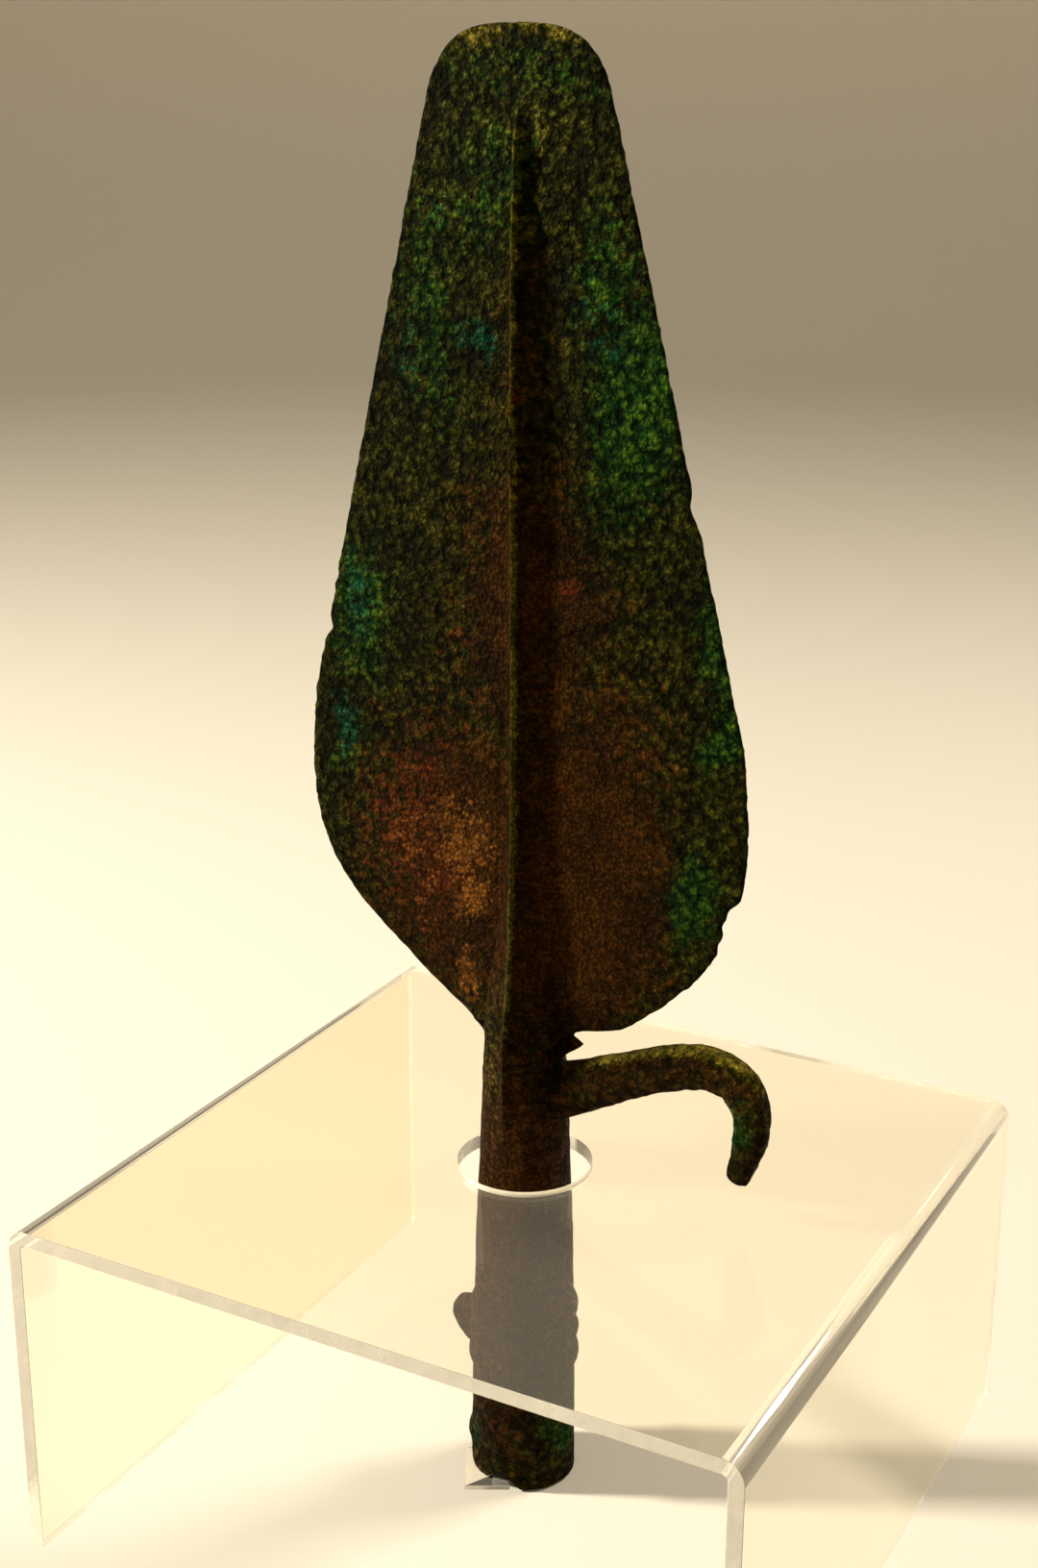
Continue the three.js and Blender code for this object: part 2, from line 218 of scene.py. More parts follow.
def skin(rings: np.ndarray) -> tuple[np.ndarray, list]:
    """Closes a stack of equal rings into one surface, with a fan around the middle of each end.

    Args:
        rings: points, shape (rings, points in a ring, 3).

    Returns:
        The points, shape (n, 3), and the faces as lists of indices.
    """
    rows, count, _ = rings.shape
    points = np.concatenate([rings.reshape(-1, 3), rings[[0, -1]].mean(axis=1)])
    here = np.arange(count)
    after = (here + 1) % count
    base = np.arange(rows - 1)[:, None] * count
    quads = np.stack([base + here, base + count + here, base + count + after, base + after], -1)
    first, last = rows * count, (rows - 1) * count
    start = np.stack([np.full(count, first), here, after], -1)
    end = np.stack([np.full(count, first + 1), last + after, last + here], -1)
    return points, quads.reshape(-1, 4).tolist() + start.tolist() + end.tolist()


def grid_normals(rings: np.ndarray) -> np.ndarray:
    """Unit normals of a closed stack of rings: along the ring crossed with along the stack."""
    around = np.roll(rings, -1, axis=1) - np.roll(rings, 1, axis=1)
    along = np.gradient(rings, axis=0)
    return unit(np.cross(around, along))


def unit(arrows: np.ndarray) -> np.ndarray:
    """The same directions with a length of one."""
    return arrows / np.maximum(np.linalg.norm(arrows, axis=-1, keepdims=True), TINY)


def mesh_object(name: str, points: np.ndarray, faces: list) -> bpy.types.Object:
    """Makes an object with its place in its mesh and its faces outward.

    Args:
        name: the object's name.
        points: corners in millimetres, in the frame.
        faces: lists of corner indices.

    Returns:
        The object, at the origin and linked to the scene.
    """
    mesh = bpy.data.meshes.new(name)
    mesh.from_pydata((points * MM).tolist(), [], faces)
    mesh.validate()
    shape = bmesh.new()
    shape.from_mesh(mesh)
    bmesh.ops.recalc_face_normals(shape, faces=shape.faces)
    shape.to_mesh(mesh)
    shape.free()
    made = bpy.data.objects.new(name, mesh)
    bpy.context.scene.collection.objects.link(made)
    return made


class Joining(Enum):
    """How a second solid changes the first."""

    ADD = "UNION"
    CUT = "DIFFERENCE"


def combine(body: bpy.types.Object, tool: bpy.types.Object, how: Joining) -> None:
    """Joins one solid to another, or cuts it away, and deletes the second.

    Args:
        body: the solid that stays, changed in place.
        tool: the solid that is used up.
        how: whether it is added or cut away.
    """
    modifier = body.modifiers.new(how.name, "BOOLEAN")
    modifier.operation, modifier.object, modifier.solver = how.value, tool, "MANIFOLD"
    bake_modifiers(body)
    bpy.data.objects.remove(tool)


def bake_modifiers(body: bpy.types.Object) -> None:
    """Puts what an object's modifiers make into its own mesh, and takes them off."""
    graph = bpy.context.evaluated_depsgraph_get()
    old, name = body.data, body.data.name
    body.data = bpy.data.meshes.new_from_object(body.evaluated_get(graph))
    body.modifiers.clear()
    bpy.data.meshes.remove(old)
    body.data.name = name


def shade(body: bpy.types.Object, sharp_from: float) -> None:
    """Shades a mesh smooth, apart from the edges sharper than an angle in degrees."""
    body.data.polygons.foreach_set("use_smooth", [True] * len(body.data.polygons))
    body.data.set_sharp_from_angle(angle=math.radians(sharp_from))


def read_triples(items: bpy.types.bpy_prop_collection, name: str) -> np.ndarray:
    """One vector property of every item, shape (n, 3)."""
    numbers = np.empty(len(items) * 3)
    items.foreach_get(name, numbers)
    return numbers.reshape(-1, 3)


def flat_faces(body: bpy.types.Object) -> None:
    """Shades a clear piece smooth on its bends and eased edges, and flat on its level faces."""
    polygons = body.data.polygons
    square = np.abs(read_triples(polygons, "normal")).max(axis=1) > SQUARE_ON
    polygons.foreach_set("use_smooth", ~square)


def ease_edges(body: bpy.types.Object, width: float, from_angle: float) -> None:
    """Bevels a clear piece's edges.

    Args:
        body: the piece, changed in place.
        width: the bevel's width in millimetres.
        from_angle: edges sharper than this many degrees are eased.
    """
    edges = body.modifiers.new("eased_edges", "BEVEL")
    edges.width, edges.segments, edges.limit_method = width * MM, 2, "ANGLE"
    edges.angle_limit = math.radians(from_angle)
    bake_modifiers(body)
    flat_faces(body)


def let_light_pass(piece: bpy.types.Object) -> None:
    """Lets a clear piece's surroundings be lit straight through it, with no shadow or glints."""
    piece.visible_shadow = False
    piece.visible_diffuse = False


# ---- Patina -------------------------------------------------------------------------------------


class Tint(Enum):
    """Kinds of corrosion, each painted as one attribute of the mesh; olive also carries painted
    highlight.
    """

    GREEN = "green"  # emerald and yellow-green grains
    TURQUOISE = "turquoise"  # small pale blue-green grains
    BROWN = "brown"  # bare red-brown metal skin, smoother
    OCHRE = "ochre"  # bright orange-tan scale
    RED = "red"  # small cuprite-red spots
    OLIVE = "olive"  # yellow-green film, plus painted highlight where it faces up, on the tip, the seam and the hook


@dataclass(frozen=True)
class Patch:
    """One soft-edged area of a tint on the blade or the socket.

    Attributes:
        tint: which corrosion it is.
        x: middle, measured from the casting's axis.
        z: height of the middle.
        reach_x: half width at which it has faded to a third.
        reach_z: half height at which it has faded to a third.
        strength: 0 to 1 at the middle.
    """

    tint: Tint
    x: float
    z: float
    reach_x: float
    reach_z: float
    strength: float


@dataclass(frozen=True)
class Patina:
    """Where each kind of corrosion lies on the casting, and where olive painted highlight lies."""

    patches: tuple = (
        Patch(Tint.BROWN, -30, 285, 50, 70, 1.0),
        Patch(Tint.BROWN, 22, 285, 52, 100, 1.0),
        Patch(Tint.BROWN, 3, 400, 40, 70, 0.85),
        Patch(Tint.BROWN, 4, 500, 16, 60, 0.5),
        Patch(Tint.BROWN, 0, 120, 60, 120, 0.95),
        Patch(Tint.OCHRE, -27, 236, 8, 19, 1.0),
        Patch(Tint.OCHRE, -25, 274, 12, 18, 0.95),
        Patch(Tint.OCHRE, -31, 297, 24, 26, 0.82),
        Patch(Tint.OCHRE, -52, 285, 20, 38, 0.6),
        Patch(Tint.OCHRE, -74, 348, 4, 4, 0.9),
        Patch(Tint.OCHRE, -60, 335, 6, 5, 0.5),
        Patch(Tint.OCHRE, 28, 105, 4, 14, 0.5),
        Patch(Tint.RED, 21, 408, 8, 5, 1.0),
        Patch(Tint.RED, 2, 481, 3, 5, 0.8),
        Patch(Tint.RED, -30, 380, 12, 7, 0.5),
        Patch(Tint.RED, -48, 295, 34, 52, 0.78),
        Patch(Tint.RED, 14, 330, 12, 40, 0.4),
        Patch(Tint.TURQUOISE, -18, 498, 12, 10, 0.95),
        Patch(Tint.TURQUOISE, -57, 492, 11, 26, 0.75),
        Patch(Tint.TURQUOISE, -88, 335, 8, 26, 0.85),
        Patch(Tint.TURQUOISE, -77, 392, 14, 26, 0.75),
        Patch(Tint.TURQUOISE, 33, 503, 14, 20, 0.7),
        Patch(Tint.TURQUOISE, -40, 552, 12, 22, 0.5),
        Patch(Tint.TURQUOISE, 92, 372, 8, 26, 0.5),
        Patch(Tint.GREEN, 44, 478, 26, 58, 1.0),
        Patch(Tint.GREEN, 33, 530, 18, 40, 0.7),
        Patch(Tint.GREEN, 84, 395, 13, 40, 0.95),
        Patch(Tint.GREEN, 84, 358, 12, 16, 1.0),
        Patch(Tint.GREEN, 76, 286, 15, 32, 0.85),
        Patch(Tint.GREEN, -76, 385, 20, 38, 0.85),
        Patch(Tint.GREEN, -88, 330, 10, 28, 0.7),
        Patch(Tint.GREEN, -45, 510, 22, 60, 0.75),
        Patch(Tint.GREEN, -15, 560, 30, 45, 0.6),
        Patch(Tint.GREEN, 0, 595, 60, 22, 0.55),
        Patch(Tint.GREEN, 98, 190, 14, 26, 0.7),
        Patch(Tint.GREEN, 20, 30, 9, 20, 0.75),
        Patch(Tint.GREEN, -13, 19, 7, 9, 0.9),
        # Olive patches: yellow-green film; the band across the tip's top, at 612, is a painted
        # highlight of its lit rim.
        Patch(Tint.OLIVE, -8, 575, 40, 40, 0.62),
        Patch(Tint.OLIVE, 84, 352, 12, 14, 0.6),
        Patch(Tint.OLIVE, 0, 612, 60, 10, 0.9),
        Patch(Tint.OLIVE, -9, 205, 8, 36, 0.62),
        Patch(Tint.OLIVE, 20, 75, 12, 20, 0.4),
    )
    drift: float = 9.0  # how far noise moves a patch's edge
    drift_size: float = 26.0
    back_shift: float = 400.0  # how far off the noise for the back is read

    facing_up: tuple = (0.15, 0.85)  # a normal's upward part, from no painted highlight to a full one
    hook_start: tuple = (22.0, 40.0)  # out from the axis, over this stretch the hook's film begins
    hook_top: tuple = (-232.0, -224.0)  # less the height, over this stretch it ends
    hook_brown: float = 0.55
    hook_olive: tuple = (0.25, 0.75)  # film everywhere on the hook, and painted highlight added where it faces up
    # Painted highlight in olive on the upward-facing tip and along the seam.
    tip_start: tuple = (560.0, 600.0)
    tip_highlight: float = 0.9
    seam_start: tuple = (200.0, 230.0)
    seam_highlight: float = 1.2

    def spread(self, points: np.ndarray) -> dict[Tint, np.ndarray]:
        """How much of each tint there is at each point, 0 to 1.

        Formula: the strongest of the tint's patches, each falling off as a bell curve of the
        distance from its middle, with the point first moved a little by noise. The back of the
        casting reads other noise than the front.

        Args:
            points: positions from the casting's axis, shape (n, 3).

        Returns:
            One array for each tint.
        """
        sided = points.copy()
        sided[:, 1] += np.where(points[:, 1] > 0, self.back_shift, 0.0)
        sideways, upwards = (
            self.drift * Noise(seed).waves(sided, self.drift_size, 3)
            for seed in (Seed.PATCH_SIDEWAYS, Seed.PATCH_UPWARDS)
        )
        moved_x, moved_z = points[:, 0] + sideways, points[:, 2] + upwards
        found = {tint: np.zeros(len(points)) for tint in Tint}
        for patch in self.patches:
            away = ((moved_x - patch.x) / patch.reach_x) ** 2
            away += ((moved_z - patch.z) / patch.reach_z) ** 2
            found[patch.tint] = np.maximum(found[patch.tint], patch.strength * np.exp(-away))
        return found

    def films_and_highlights(self, points: np.ndarray, facing: np.ndarray, seam: np.ndarray) -> dict:
        """The patches, plus olive that follows the shape: film on the hook, and painted highlight on
        the hook's upward faces, on the tip's upward faces and along the seam.

        Args:
            points: positions from the casting's axis, shape (n, 3).
            facing: the upward part of each point's normal.
            seam: how far each point lies on the seam, 0 to 1.

        Returns:
            One array of shares for each tint.
        """
        shares = self.spread(points)
        up = smooth(facing, *self.facing_up)
        on_hook = smooth(points[:, 0], *self.hook_start) * smooth(-points[:, 2], *self.hook_top)
        base, added = self.hook_olive
        shares[Tint.BROWN] = np.maximum(shares[Tint.BROWN], self.hook_brown * on_hook)
        # Olive: film on the hook, and painted highlight where the hook faces up, on the tip's upward
        # faces and along the seam.
        for olive in (
            on_hook * (base + added * up),
            self.tip_highlight * up * smooth(points[:, 2], *self.tip_start),
            self.seam_highlight * seam * smooth(points[:, 2], *self.seam_start),
        ):
            shares[Tint.OLIVE] = np.maximum(shares[Tint.OLIVE], olive)
        return shares


# ---- Finishes -----------------------------------------------------------------------------------


class Sheet:
    """A material's nodes, added one at a time from the left."""

    def __init__(self, name: str) -> None:
        """Starts a material of that name with its shader and output joined."""
        self.material = bpy.data.materials.new(name)
        self.material.use_nodes = True
        self.tree = self.material.node_tree
        self.shader = self.tree.nodes["Principled BSDF"]
        self.place = self.tree.nodes.new("ShaderNodeTexCoord").outputs["Object"]

    def warp(self, size: float, reach: float) -> None:
        """Bends the place that later patterns read: noise of a size, moving it by up to a reach."""
        inputs = {"Vector": self.place, "Scale": 1 / (size * MM), "Detail": 2.0}
        loose = self.add("TexNoise", inputs).outputs["Color"]
        centred = self.vector("SUBTRACT", {0: loose, 1: (0.5, 0.5, 0.5)})
        move = self.vector("SCALE", {0: centred, "Scale": 2 * reach * MM})
        self.place = self.vector("ADD", {0: self.place, 1: move})

    def add(self, kind: str, inputs: dict, **settings: object) -> bpy.types.Node:
        """Adds one node.

        Args:
            kind: the node's type without its ShaderNode prefix.
            inputs: socket name or number to a value, or to the socket that feeds it.
            settings: the node's own options.

        Returns:
            The node.
        """
        node = self.tree.nodes.new("ShaderNode" + kind)
        for option, value in settings.items():
            setattr(node, option, value)
        for key, value in inputs.items():
            if isinstance(value, bpy.types.NodeSocket):
                self.tree.links.new(value, node.inputs[key])
            else:
                node.inputs[key].default_value = value
        return node

    def noise(self, size: float, detail: float, rough: float = 0.55) -> bpy.types.NodeSocket:
        """Cloudy noise whose largest clouds are that many millimetres across."""
        inputs = {"Vector": self.place, "Scale": 1 / (size * MM)}
        return self.add("TexNoise", {**inputs, "Detail": detail, "Roughness": rough}).outputs[0]

    def cells(self, size: float, output: str, soft: float = 0.0) -> bpy.types.NodeSocket:
        """Packed cells that many millimetres apart: their Distance or their random Color."""
        inputs = {"Vector": self.place, "Scale": 1 / (size * MM)}
        feature = "F1"
        if soft:
            feature, inputs["Smoothness"] = "SMOOTH_F1", soft
        return self.add("TexVoronoi", inputs, feature=feature).outputs[output]

    def math(self, how: str, first: object, second: object = 0.0) -> bpy.types.NodeSocket:
        """One sum on two numbers or sockets."""
        return self.add("Math", {0: first, 1: second}, operation=how).outputs[0]

    def vector(self, how: str, inputs: dict) -> bpy.types.NodeSocket:
        """One sum on vectors or colours."""
        return self.add("VectorMath", inputs, operation=how).outputs[0]

    def window(
        self, value: object, low: float, high: float, top: float = 1.0
    ) -> bpy.types.NodeSocket:
        """An S-curve from 0 at low to top at high."""
        inputs = {"Value": value, "From Min": low, "From Max": high, "To Max": top}
        return self.add("MapRange", inputs, interpolation_type="SMOOTHSTEP").outputs[0]

    def blend(self, share: object, low: object, high: object) -> bpy.types.NodeSocket:
        """A colour that share of the way from low to high."""
        low, high = ((*side, 1.0) if isinstance(side, tuple) else side for side in (low, high))
        factor, first, second, colour = 0, 6, 7, 2  # the node's sockets that are for colours
        inputs = {factor: share, first: low, second: high}
        return self.add("Mix", inputs, data_type="RGBA").outputs[colour]

    def painted(self, name: str) -> bpy.types.NodeSocket:
        """A number that the mesh carries at its corners, by its attribute's name."""
        return self.add("Attribute", {}, attribute_name=name).outputs["Fac"]

    def total(self, *parts: tuple) -> bpy.types.NodeSocket:
        """The sum of several (socket, weight) pairs."""
        sums = [self.math("MULTIPLY", socket, weight) for socket, weight in parts]
        while len(sums) > 1:
            sums = [self.math("ADD", sums[0], sums[1]), *sums[2:]]
        return sums[0]

    def drive(self, socket: str, value: bpy.types.NodeSocket) -> None:
        """Feeds one of the shader's sockets."""
        self.tree.links.new(value, self.shader.inputs[socket])


@dataclass(frozen=True)
class Growth:
    """How one corrosion shows.

    Attributes:
        tint: which corrosion it is.
        dark: its colour low down between the grains, as painted shade.
        light: its colour on the grains, as painted light.
        low: the painted share at which it begins to show.
        high: the painted share at which it covers the skin.
    """

    tint: Tint
    dark: tuple
    light: tuple
    low: float
    high: float


@dataclass(frozen=True)
class CorrodedBronze:
    """Dark, grainy corroded bronze with green, turquoise and rusty growth, and painted shade and
    light on its grains.
    """

    # The darkest colour: for clouds of darker tone, and for painted shade in the hollows.
    dark_tone_and_shade: tuple = (0.0018, 0.0015, 0.0003)
    # The crust's painted-shade copy low between the grains, then its painted-light copy on them.
    crust: tuple = (0.008, 0.009, 0.0008)
    crust_light: tuple = (0.046, 0.045, 0.002)
    growths: tuple = (
        Growth(Tint.BROWN, (0.017, 0.0065, 0.0006), (0.095, 0.031, 0.002), 0.2, 0.7),
        # Olive: yellow-green film, and the colour of the painted highlight on the tip, the seam and
        # the hook's top.
        Growth(Tint.OLIVE, (0.045, 0.038, 0.003), (0.3, 0.235, 0.025), 0.4, 0.95),
        Growth(Tint.RED, (0.045, 0.0085, 0.002), (0.17, 0.04, 0.008), 0.45, 0.8),
        Growth(Tint.OCHRE, (0.075, 0.026, 0.004), (0.42, 0.16, 0.02), 0.45, 0.9),
        Growth(Tint.GREEN, (0.003, 0.023, 0.003), (0.055, 0.115, 0.005), 0.35, 0.8),
        Growth(Tint.TURQUOISE, (0.002, 0.03, 0.013), (0.02, 0.125, 0.05), 0.55, 0.9),
    )
    fleck_weight: float = 1.3  # how much flecks move the edge of a growth
    chance_weight: float = 0.4  # how much each grain's own chance moves it
    middling: float = 0.85  # what flecks and chance add up to on the whole

    warp: tuple = (2.6, 0.9)  # size of the noise that bends the grains, and how far it bends them
    grain: float = 1.7  # size of the grains, in millimetres
    grain_softness: float = 0.3
    grain_dome: tuple = (0.8, 0.12)  # distances from a grain's middle: its foot and its top
    large_grain: float = 2.2  # size of the large grains, in grains
    large_softness: float = 0.25
    large_dome: tuple = (0.85, 0.1)
    lump_size: float = 4.6
    grit_size: float = 1.0
    grain_height: float = 0.2
    grit_height: float = 0.4
    large_height: float = 0.34
    lump_height: float = 0.95
    relief_height: float = 0.3
    lump_level: float = 0.84  # the part of the lumps' height that lies below the skin
    calm: tuple = (0.25, 0.9, 0.72)  # brown shares from rugged to smooth, and how smooth
    depth: float = 6.5  # of the whole pattern as a bump

    cloud_size: float = 30.0
    cloud_window: tuple = (0.58, 0.36)  # noise values from clear to dim
    cloud_strength: float = 0.5
    fleck_size: float = 6.0
    lit: tuple = (0.12, 0.7)  # heights from a growth's painted-shade colour to its painted-light one
    hollow: tuple = (0.2, -0.05)  # heights from the growth to the darkest colour, as painted shade in the hollows
    hollow_strength: float = 0.8
    highlight_from: tuple = (0.5, 0.95)  # heights over which the tops of the grains get a painted highlight
    wear_and_highlight: float = 2.6  # how much brighter the painted highlight makes them
    roughness: tuple = (0.8, 0.36)  # low down, and on the grains
    metal: float = 0.3
    shine: float = 0.17
    sheen: float = 9.0  # how much brighter than the colour the tint of the shine is

    def height(self, sheet: Sheet) -> bpy.types.NodeSocket:
        """The pattern's height: small grains and grit, over lumps that are calm on brown skin."""
        small = sheet.cells(self.grain, "Distance", self.grain_softness)
        large = sheet.cells(self.grain * self.large_grain, "Distance", self.large_softness)
        lumps = sheet.total(
            (sheet.window(large, *self.large_dome), self.large_height),
            (sheet.noise(self.lump_size, 4.0, 0.6), self.lump_height),
            (sheet.painted("relief"), self.relief_height),
        )
        calm = sheet.window(sheet.painted(Tint.BROWN.value), *self.calm)
        rugged = sheet.math("SUBTRACT", 1.0, calm)
        lumps = sheet.math("MULTIPLY", sheet.math("SUBTRACT", lumps, self.lump_level), rugged)
        grains = sheet.total(
            (sheet.window(small, *self.grain_dome), self.grain_height),
            (sheet.noise(self.grit_size, 3.0, 0.6), self.grit_height),
        )
        return sheet.math("ADD", lumps, grains)

    def material(self) -> bpy.types.Material:
        """Builds the finish.

        Each corrosion has a dark and a light colour, chosen by the pattern's height: painted shade
        low between the grains and painted light on them. It shows where its painted share and a
        noise together pass a limit. Clouds of darker tone and painted shade darken what lies low,
        and the tops of the grains get a painted highlight.

        Returns:
            The material.
        """
        sheet = Sheet("corroded_bronze")
        clouds = sheet.noise(self.cloud_size, 5.0, 0.6)
        flecks = sheet.noise(self.fleck_size, 5.0, 0.7)
        sheet.warp(*self.warp)
        height = self.height(sheet)
        # Painted shade low between the grains and painted light on them, by the pattern's height; it
        # also sets the roughness.
        lit = sheet.window(height, *self.lit)
        chance = sheet.add("SeparateColor", {0: sheet.cells(self.grain, "Color")}).outputs[0]

        colour = sheet.blend(lit, self.crust, self.crust_light)
        for growth in self.growths:
            share = sheet.total(
                (sheet.painted(growth.tint.value), 1.0),
                (flecks, self.fleck_weight),
                (chance, self.chance_weight),
            )
            grown = sheet.window(share, growth.low + self.middling, growth.high + self.middling)
            colour = sheet.blend(grown, colour, sheet.blend(lit, growth.dark, growth.light))
        # Clouds of darker tone, and painted shade where the pattern lies low.
        for value, limits, strength in (
            (clouds, self.cloud_window, self.cloud_strength),
            (height, self.hollow, self.hollow_strength),
        ):
            dark = sheet.math("MULTIPLY", sheet.window(value, *limits), strength)
            colour = sheet.blend(dark, colour, self.dark_tone_and_shade)
        # Painted highlight: the tops of the grains are made brighter.
        wear_and_highlight = sheet.vector("SCALE", {0: colour, "Scale": self.wear_and_highlight})
        colour = sheet.blend(sheet.window(height, *self.highlight_from), colour, wear_and_highlight)
        sheet.drive("Base Color", colour)
        sheet.drive("Specular Tint", sheet.vector("SCALE", {0: colour, "Scale": self.sheen}))

        low, high = self.roughness
        rough = sheet.add("MapRange", {"Value": lit, "To Min": low, "To Max": high})
        sheet.drive("Roughness", rough.outputs[0])
        sheet.shader.inputs["Metallic"].default_value = self.metal
        sheet.shader.inputs["Specular IOR Level"].default_value = self.shine
        bump = sheet.add("Bump", {"Height": height, "Distance": self.depth * MM, "Strength": 1.0})
        sheet.drive("Normal", bump.outputs[0])
        return sheet.material


@dataclass(frozen=True)
class ClearAcrylic:
    """Polished clear acrylic, faintly warm, with the thin haze of wear."""

    tint: tuple = (1.0, 0.95, 0.83, 1.0)
    index: float = 1.49
    roughness: float = 0.01
    clearness: float = 0.968

    def material(self, name: str) -> bpy.types.Material:
        """Builds the finish from plain shader values.

        Args:
            name: the material's name.

        Returns:
            The material.
        """
        sheet = Sheet(name)
        sheet.shader.inputs["Base Color"].default_value = self.tint
        sheet.shader.inputs["Transmission Weight"].default_value = self.clearness
        sheet.shader.inputs["IOR"].default_value = self.index
        sheet.shader.inputs["Roughness"].default_value = self.roughness
        return sheet.material


@dataclass(frozen=True)
class SawnAcrylic:
    """The sheet's cut and flame-polished edges: rippled, and pale as painted light for the light
    they carry.
    """

    tint: tuple = (1.0, 0.95, 0.82, 1.0)
    index: float = 1.49
    # Half of the edge is pale rather than clear: painted light for the light the sheet carries to
    # its edges.
    clearness: float = 0.5
    ripple_size: float = 14.0
    ripple_depth: float = 1.5
    ripple_strength: float = 0.6
    rough_from: tuple = (0.35, 0.7)  # ripple heights from the smoothest to the roughest
    roughness: tuple = (0.05, 0.35)

    def material(self) -> bpy.types.Material:
        """Builds the finish: long shallow ripples, and roughness that comes and goes.

        Returns:
            The material.
        """
        sheet = Sheet("sawn_acrylic_edge")
        sheet.shader.inputs["Base Color"].default_value = self.tint
        sheet.shader.inputs["Transmission Weight"].default_value = self.clearness
        sheet.shader.inputs["IOR"].default_value = self.index
        ripple = sheet.noise(self.ripple_size, 3.0)
        names = ("From Min", "From Max", "To Min", "To Max")
        limits = dict(zip(names, (*self.rough_from, *self.roughness)))
        rough = sheet.add("MapRange", {"Value": ripple, **limits})
        sheet.drive("Roughness", rough.outputs[0])
        depth = {"Distance": self.ripple_depth * MM, "Strength": self.ripple_strength}
        bump = sheet.add("Bump", {"Height": ripple, **depth})
        sheet.drive("Normal", bump.outputs[0])
        return sheet.material


# ---- The casting --------------------------------------------------------------------------------


@dataclass
class Chip:
    """A worn or broken place along the blade's edge: side (+1 the hook's), height, reach, depth."""

    side: int
    height: float
    reach: float
    depth: float


@dataclass
class Lump:
    """A swelling of crust on the socket: angle in degrees, height, reach, how far it stands out."""

    angle: float
    height: float
    reach: float
    proud: float


@dataclass
class RimWear:
    """A worn stretch of the mouth's rim, in degrees round the axis.

    Attributes:
        middle: the angle of its middle.
        level: how far it is worn evenly to each side of the middle.
        fade: how far beyond that it dies away.
        depth: how far the rim is worn back there, in millimetres.
    """

    middle: float
    level: float
    fade: float
    depth: float


@dataclass(frozen=True)
class CrustRelief:
    """Grains, hills and pits of the corroded skin, as heights in millimetres."""

    grain_sizes: tuple = (3.6, 6.4)
    grain_weights: tuple = (1.0, 0.8)
    grain_height: float = 1.15
    grain_level: float = 0.8  # the part of the grains' height that lies below the skin
    loose: tuple = (4.0, 1.2)  # size of the noise that moves the grains, and how far
    brown_limits: tuple = (0.2, 0.8)
    brown_calm: float = 0.7  # how much less grain there is on bare brown skin
    depth_size: float = 30.0
    depth: tuple = (0.75, 0.5)  # the grain's usual depth, and how much that changes
    hill_sizes: tuple = (14.0, 70.0)
    hill_heights: tuple = (0.3, 0.18)
    pit_size: float = 6.5
    pit_limits: tuple = (0.42, 0.75)
    pit_depth: float = 0.5
    rim_limits: tuple = (0.0, 9.0)
    rim_share: float = 0.2  # how much relief is left at the mouth's rim
    tip_limits: tuple = (596.0, 614.0)
    tip_calm: float = 0.5

    def at(self, points: np.ndarray) -> np.ndarray:
        """How far the corroded skin stands out or in at each point.

        Formula: packed grains of two sizes, plus noise of two sizes, less sparse pits. The grains
        are lower where the skin is bare brown, and all fades near the mouth's rim and the tip.

        Args:
            points: positions from the casting's axis, shape (n, 3).

        Returns:
            One height for each point.
        """
        brown = smooth(Patina().spread(points)[Tint.BROWN], *self.brown_limits)
        usual, change = self.depth
        crust = 1.0 - self.brown_calm * brown
        crust *= usual + change * Noise(Seed.CRUST_DEPTH).waves(points, self.depth_size, 2)
        size, reach = self.loose
        loose = points + reach * Noise(Seed.GRAIN_PLACES).waves(points, size, 2)[:, None]
        grains = sum(
            weight * Noise(seed).grains(loose, grain)
            for seed, weight, grain in zip(
                (Seed.GRAINS, Seed.LARGE_GRAINS), self.grain_weights, self.grain_sizes
            )
        )
        hills = sum(
            height * Noise(seed).waves(points, size, octaves)
            for seed, height, size, octaves in zip(
                (Seed.HILLS, Seed.WIDE_HILLS), self.hill_heights, self.hill_sizes, (4, 2)
            )
        )
        pits = smooth(Noise(Seed.PITS).waves(points, self.pit_size, 2), *self.pit_limits)
        height = crust * self.grain_height * (grains - self.grain_level)
        height += hills - self.pit_depth * pits
        rim = mix(self.rim_share, 1.0, smooth(points[:, 2], *self.rim_limits))
        return height * rim * (1.0 - self.tip_calm * smooth(points[:, 2], *self.tip_limits))


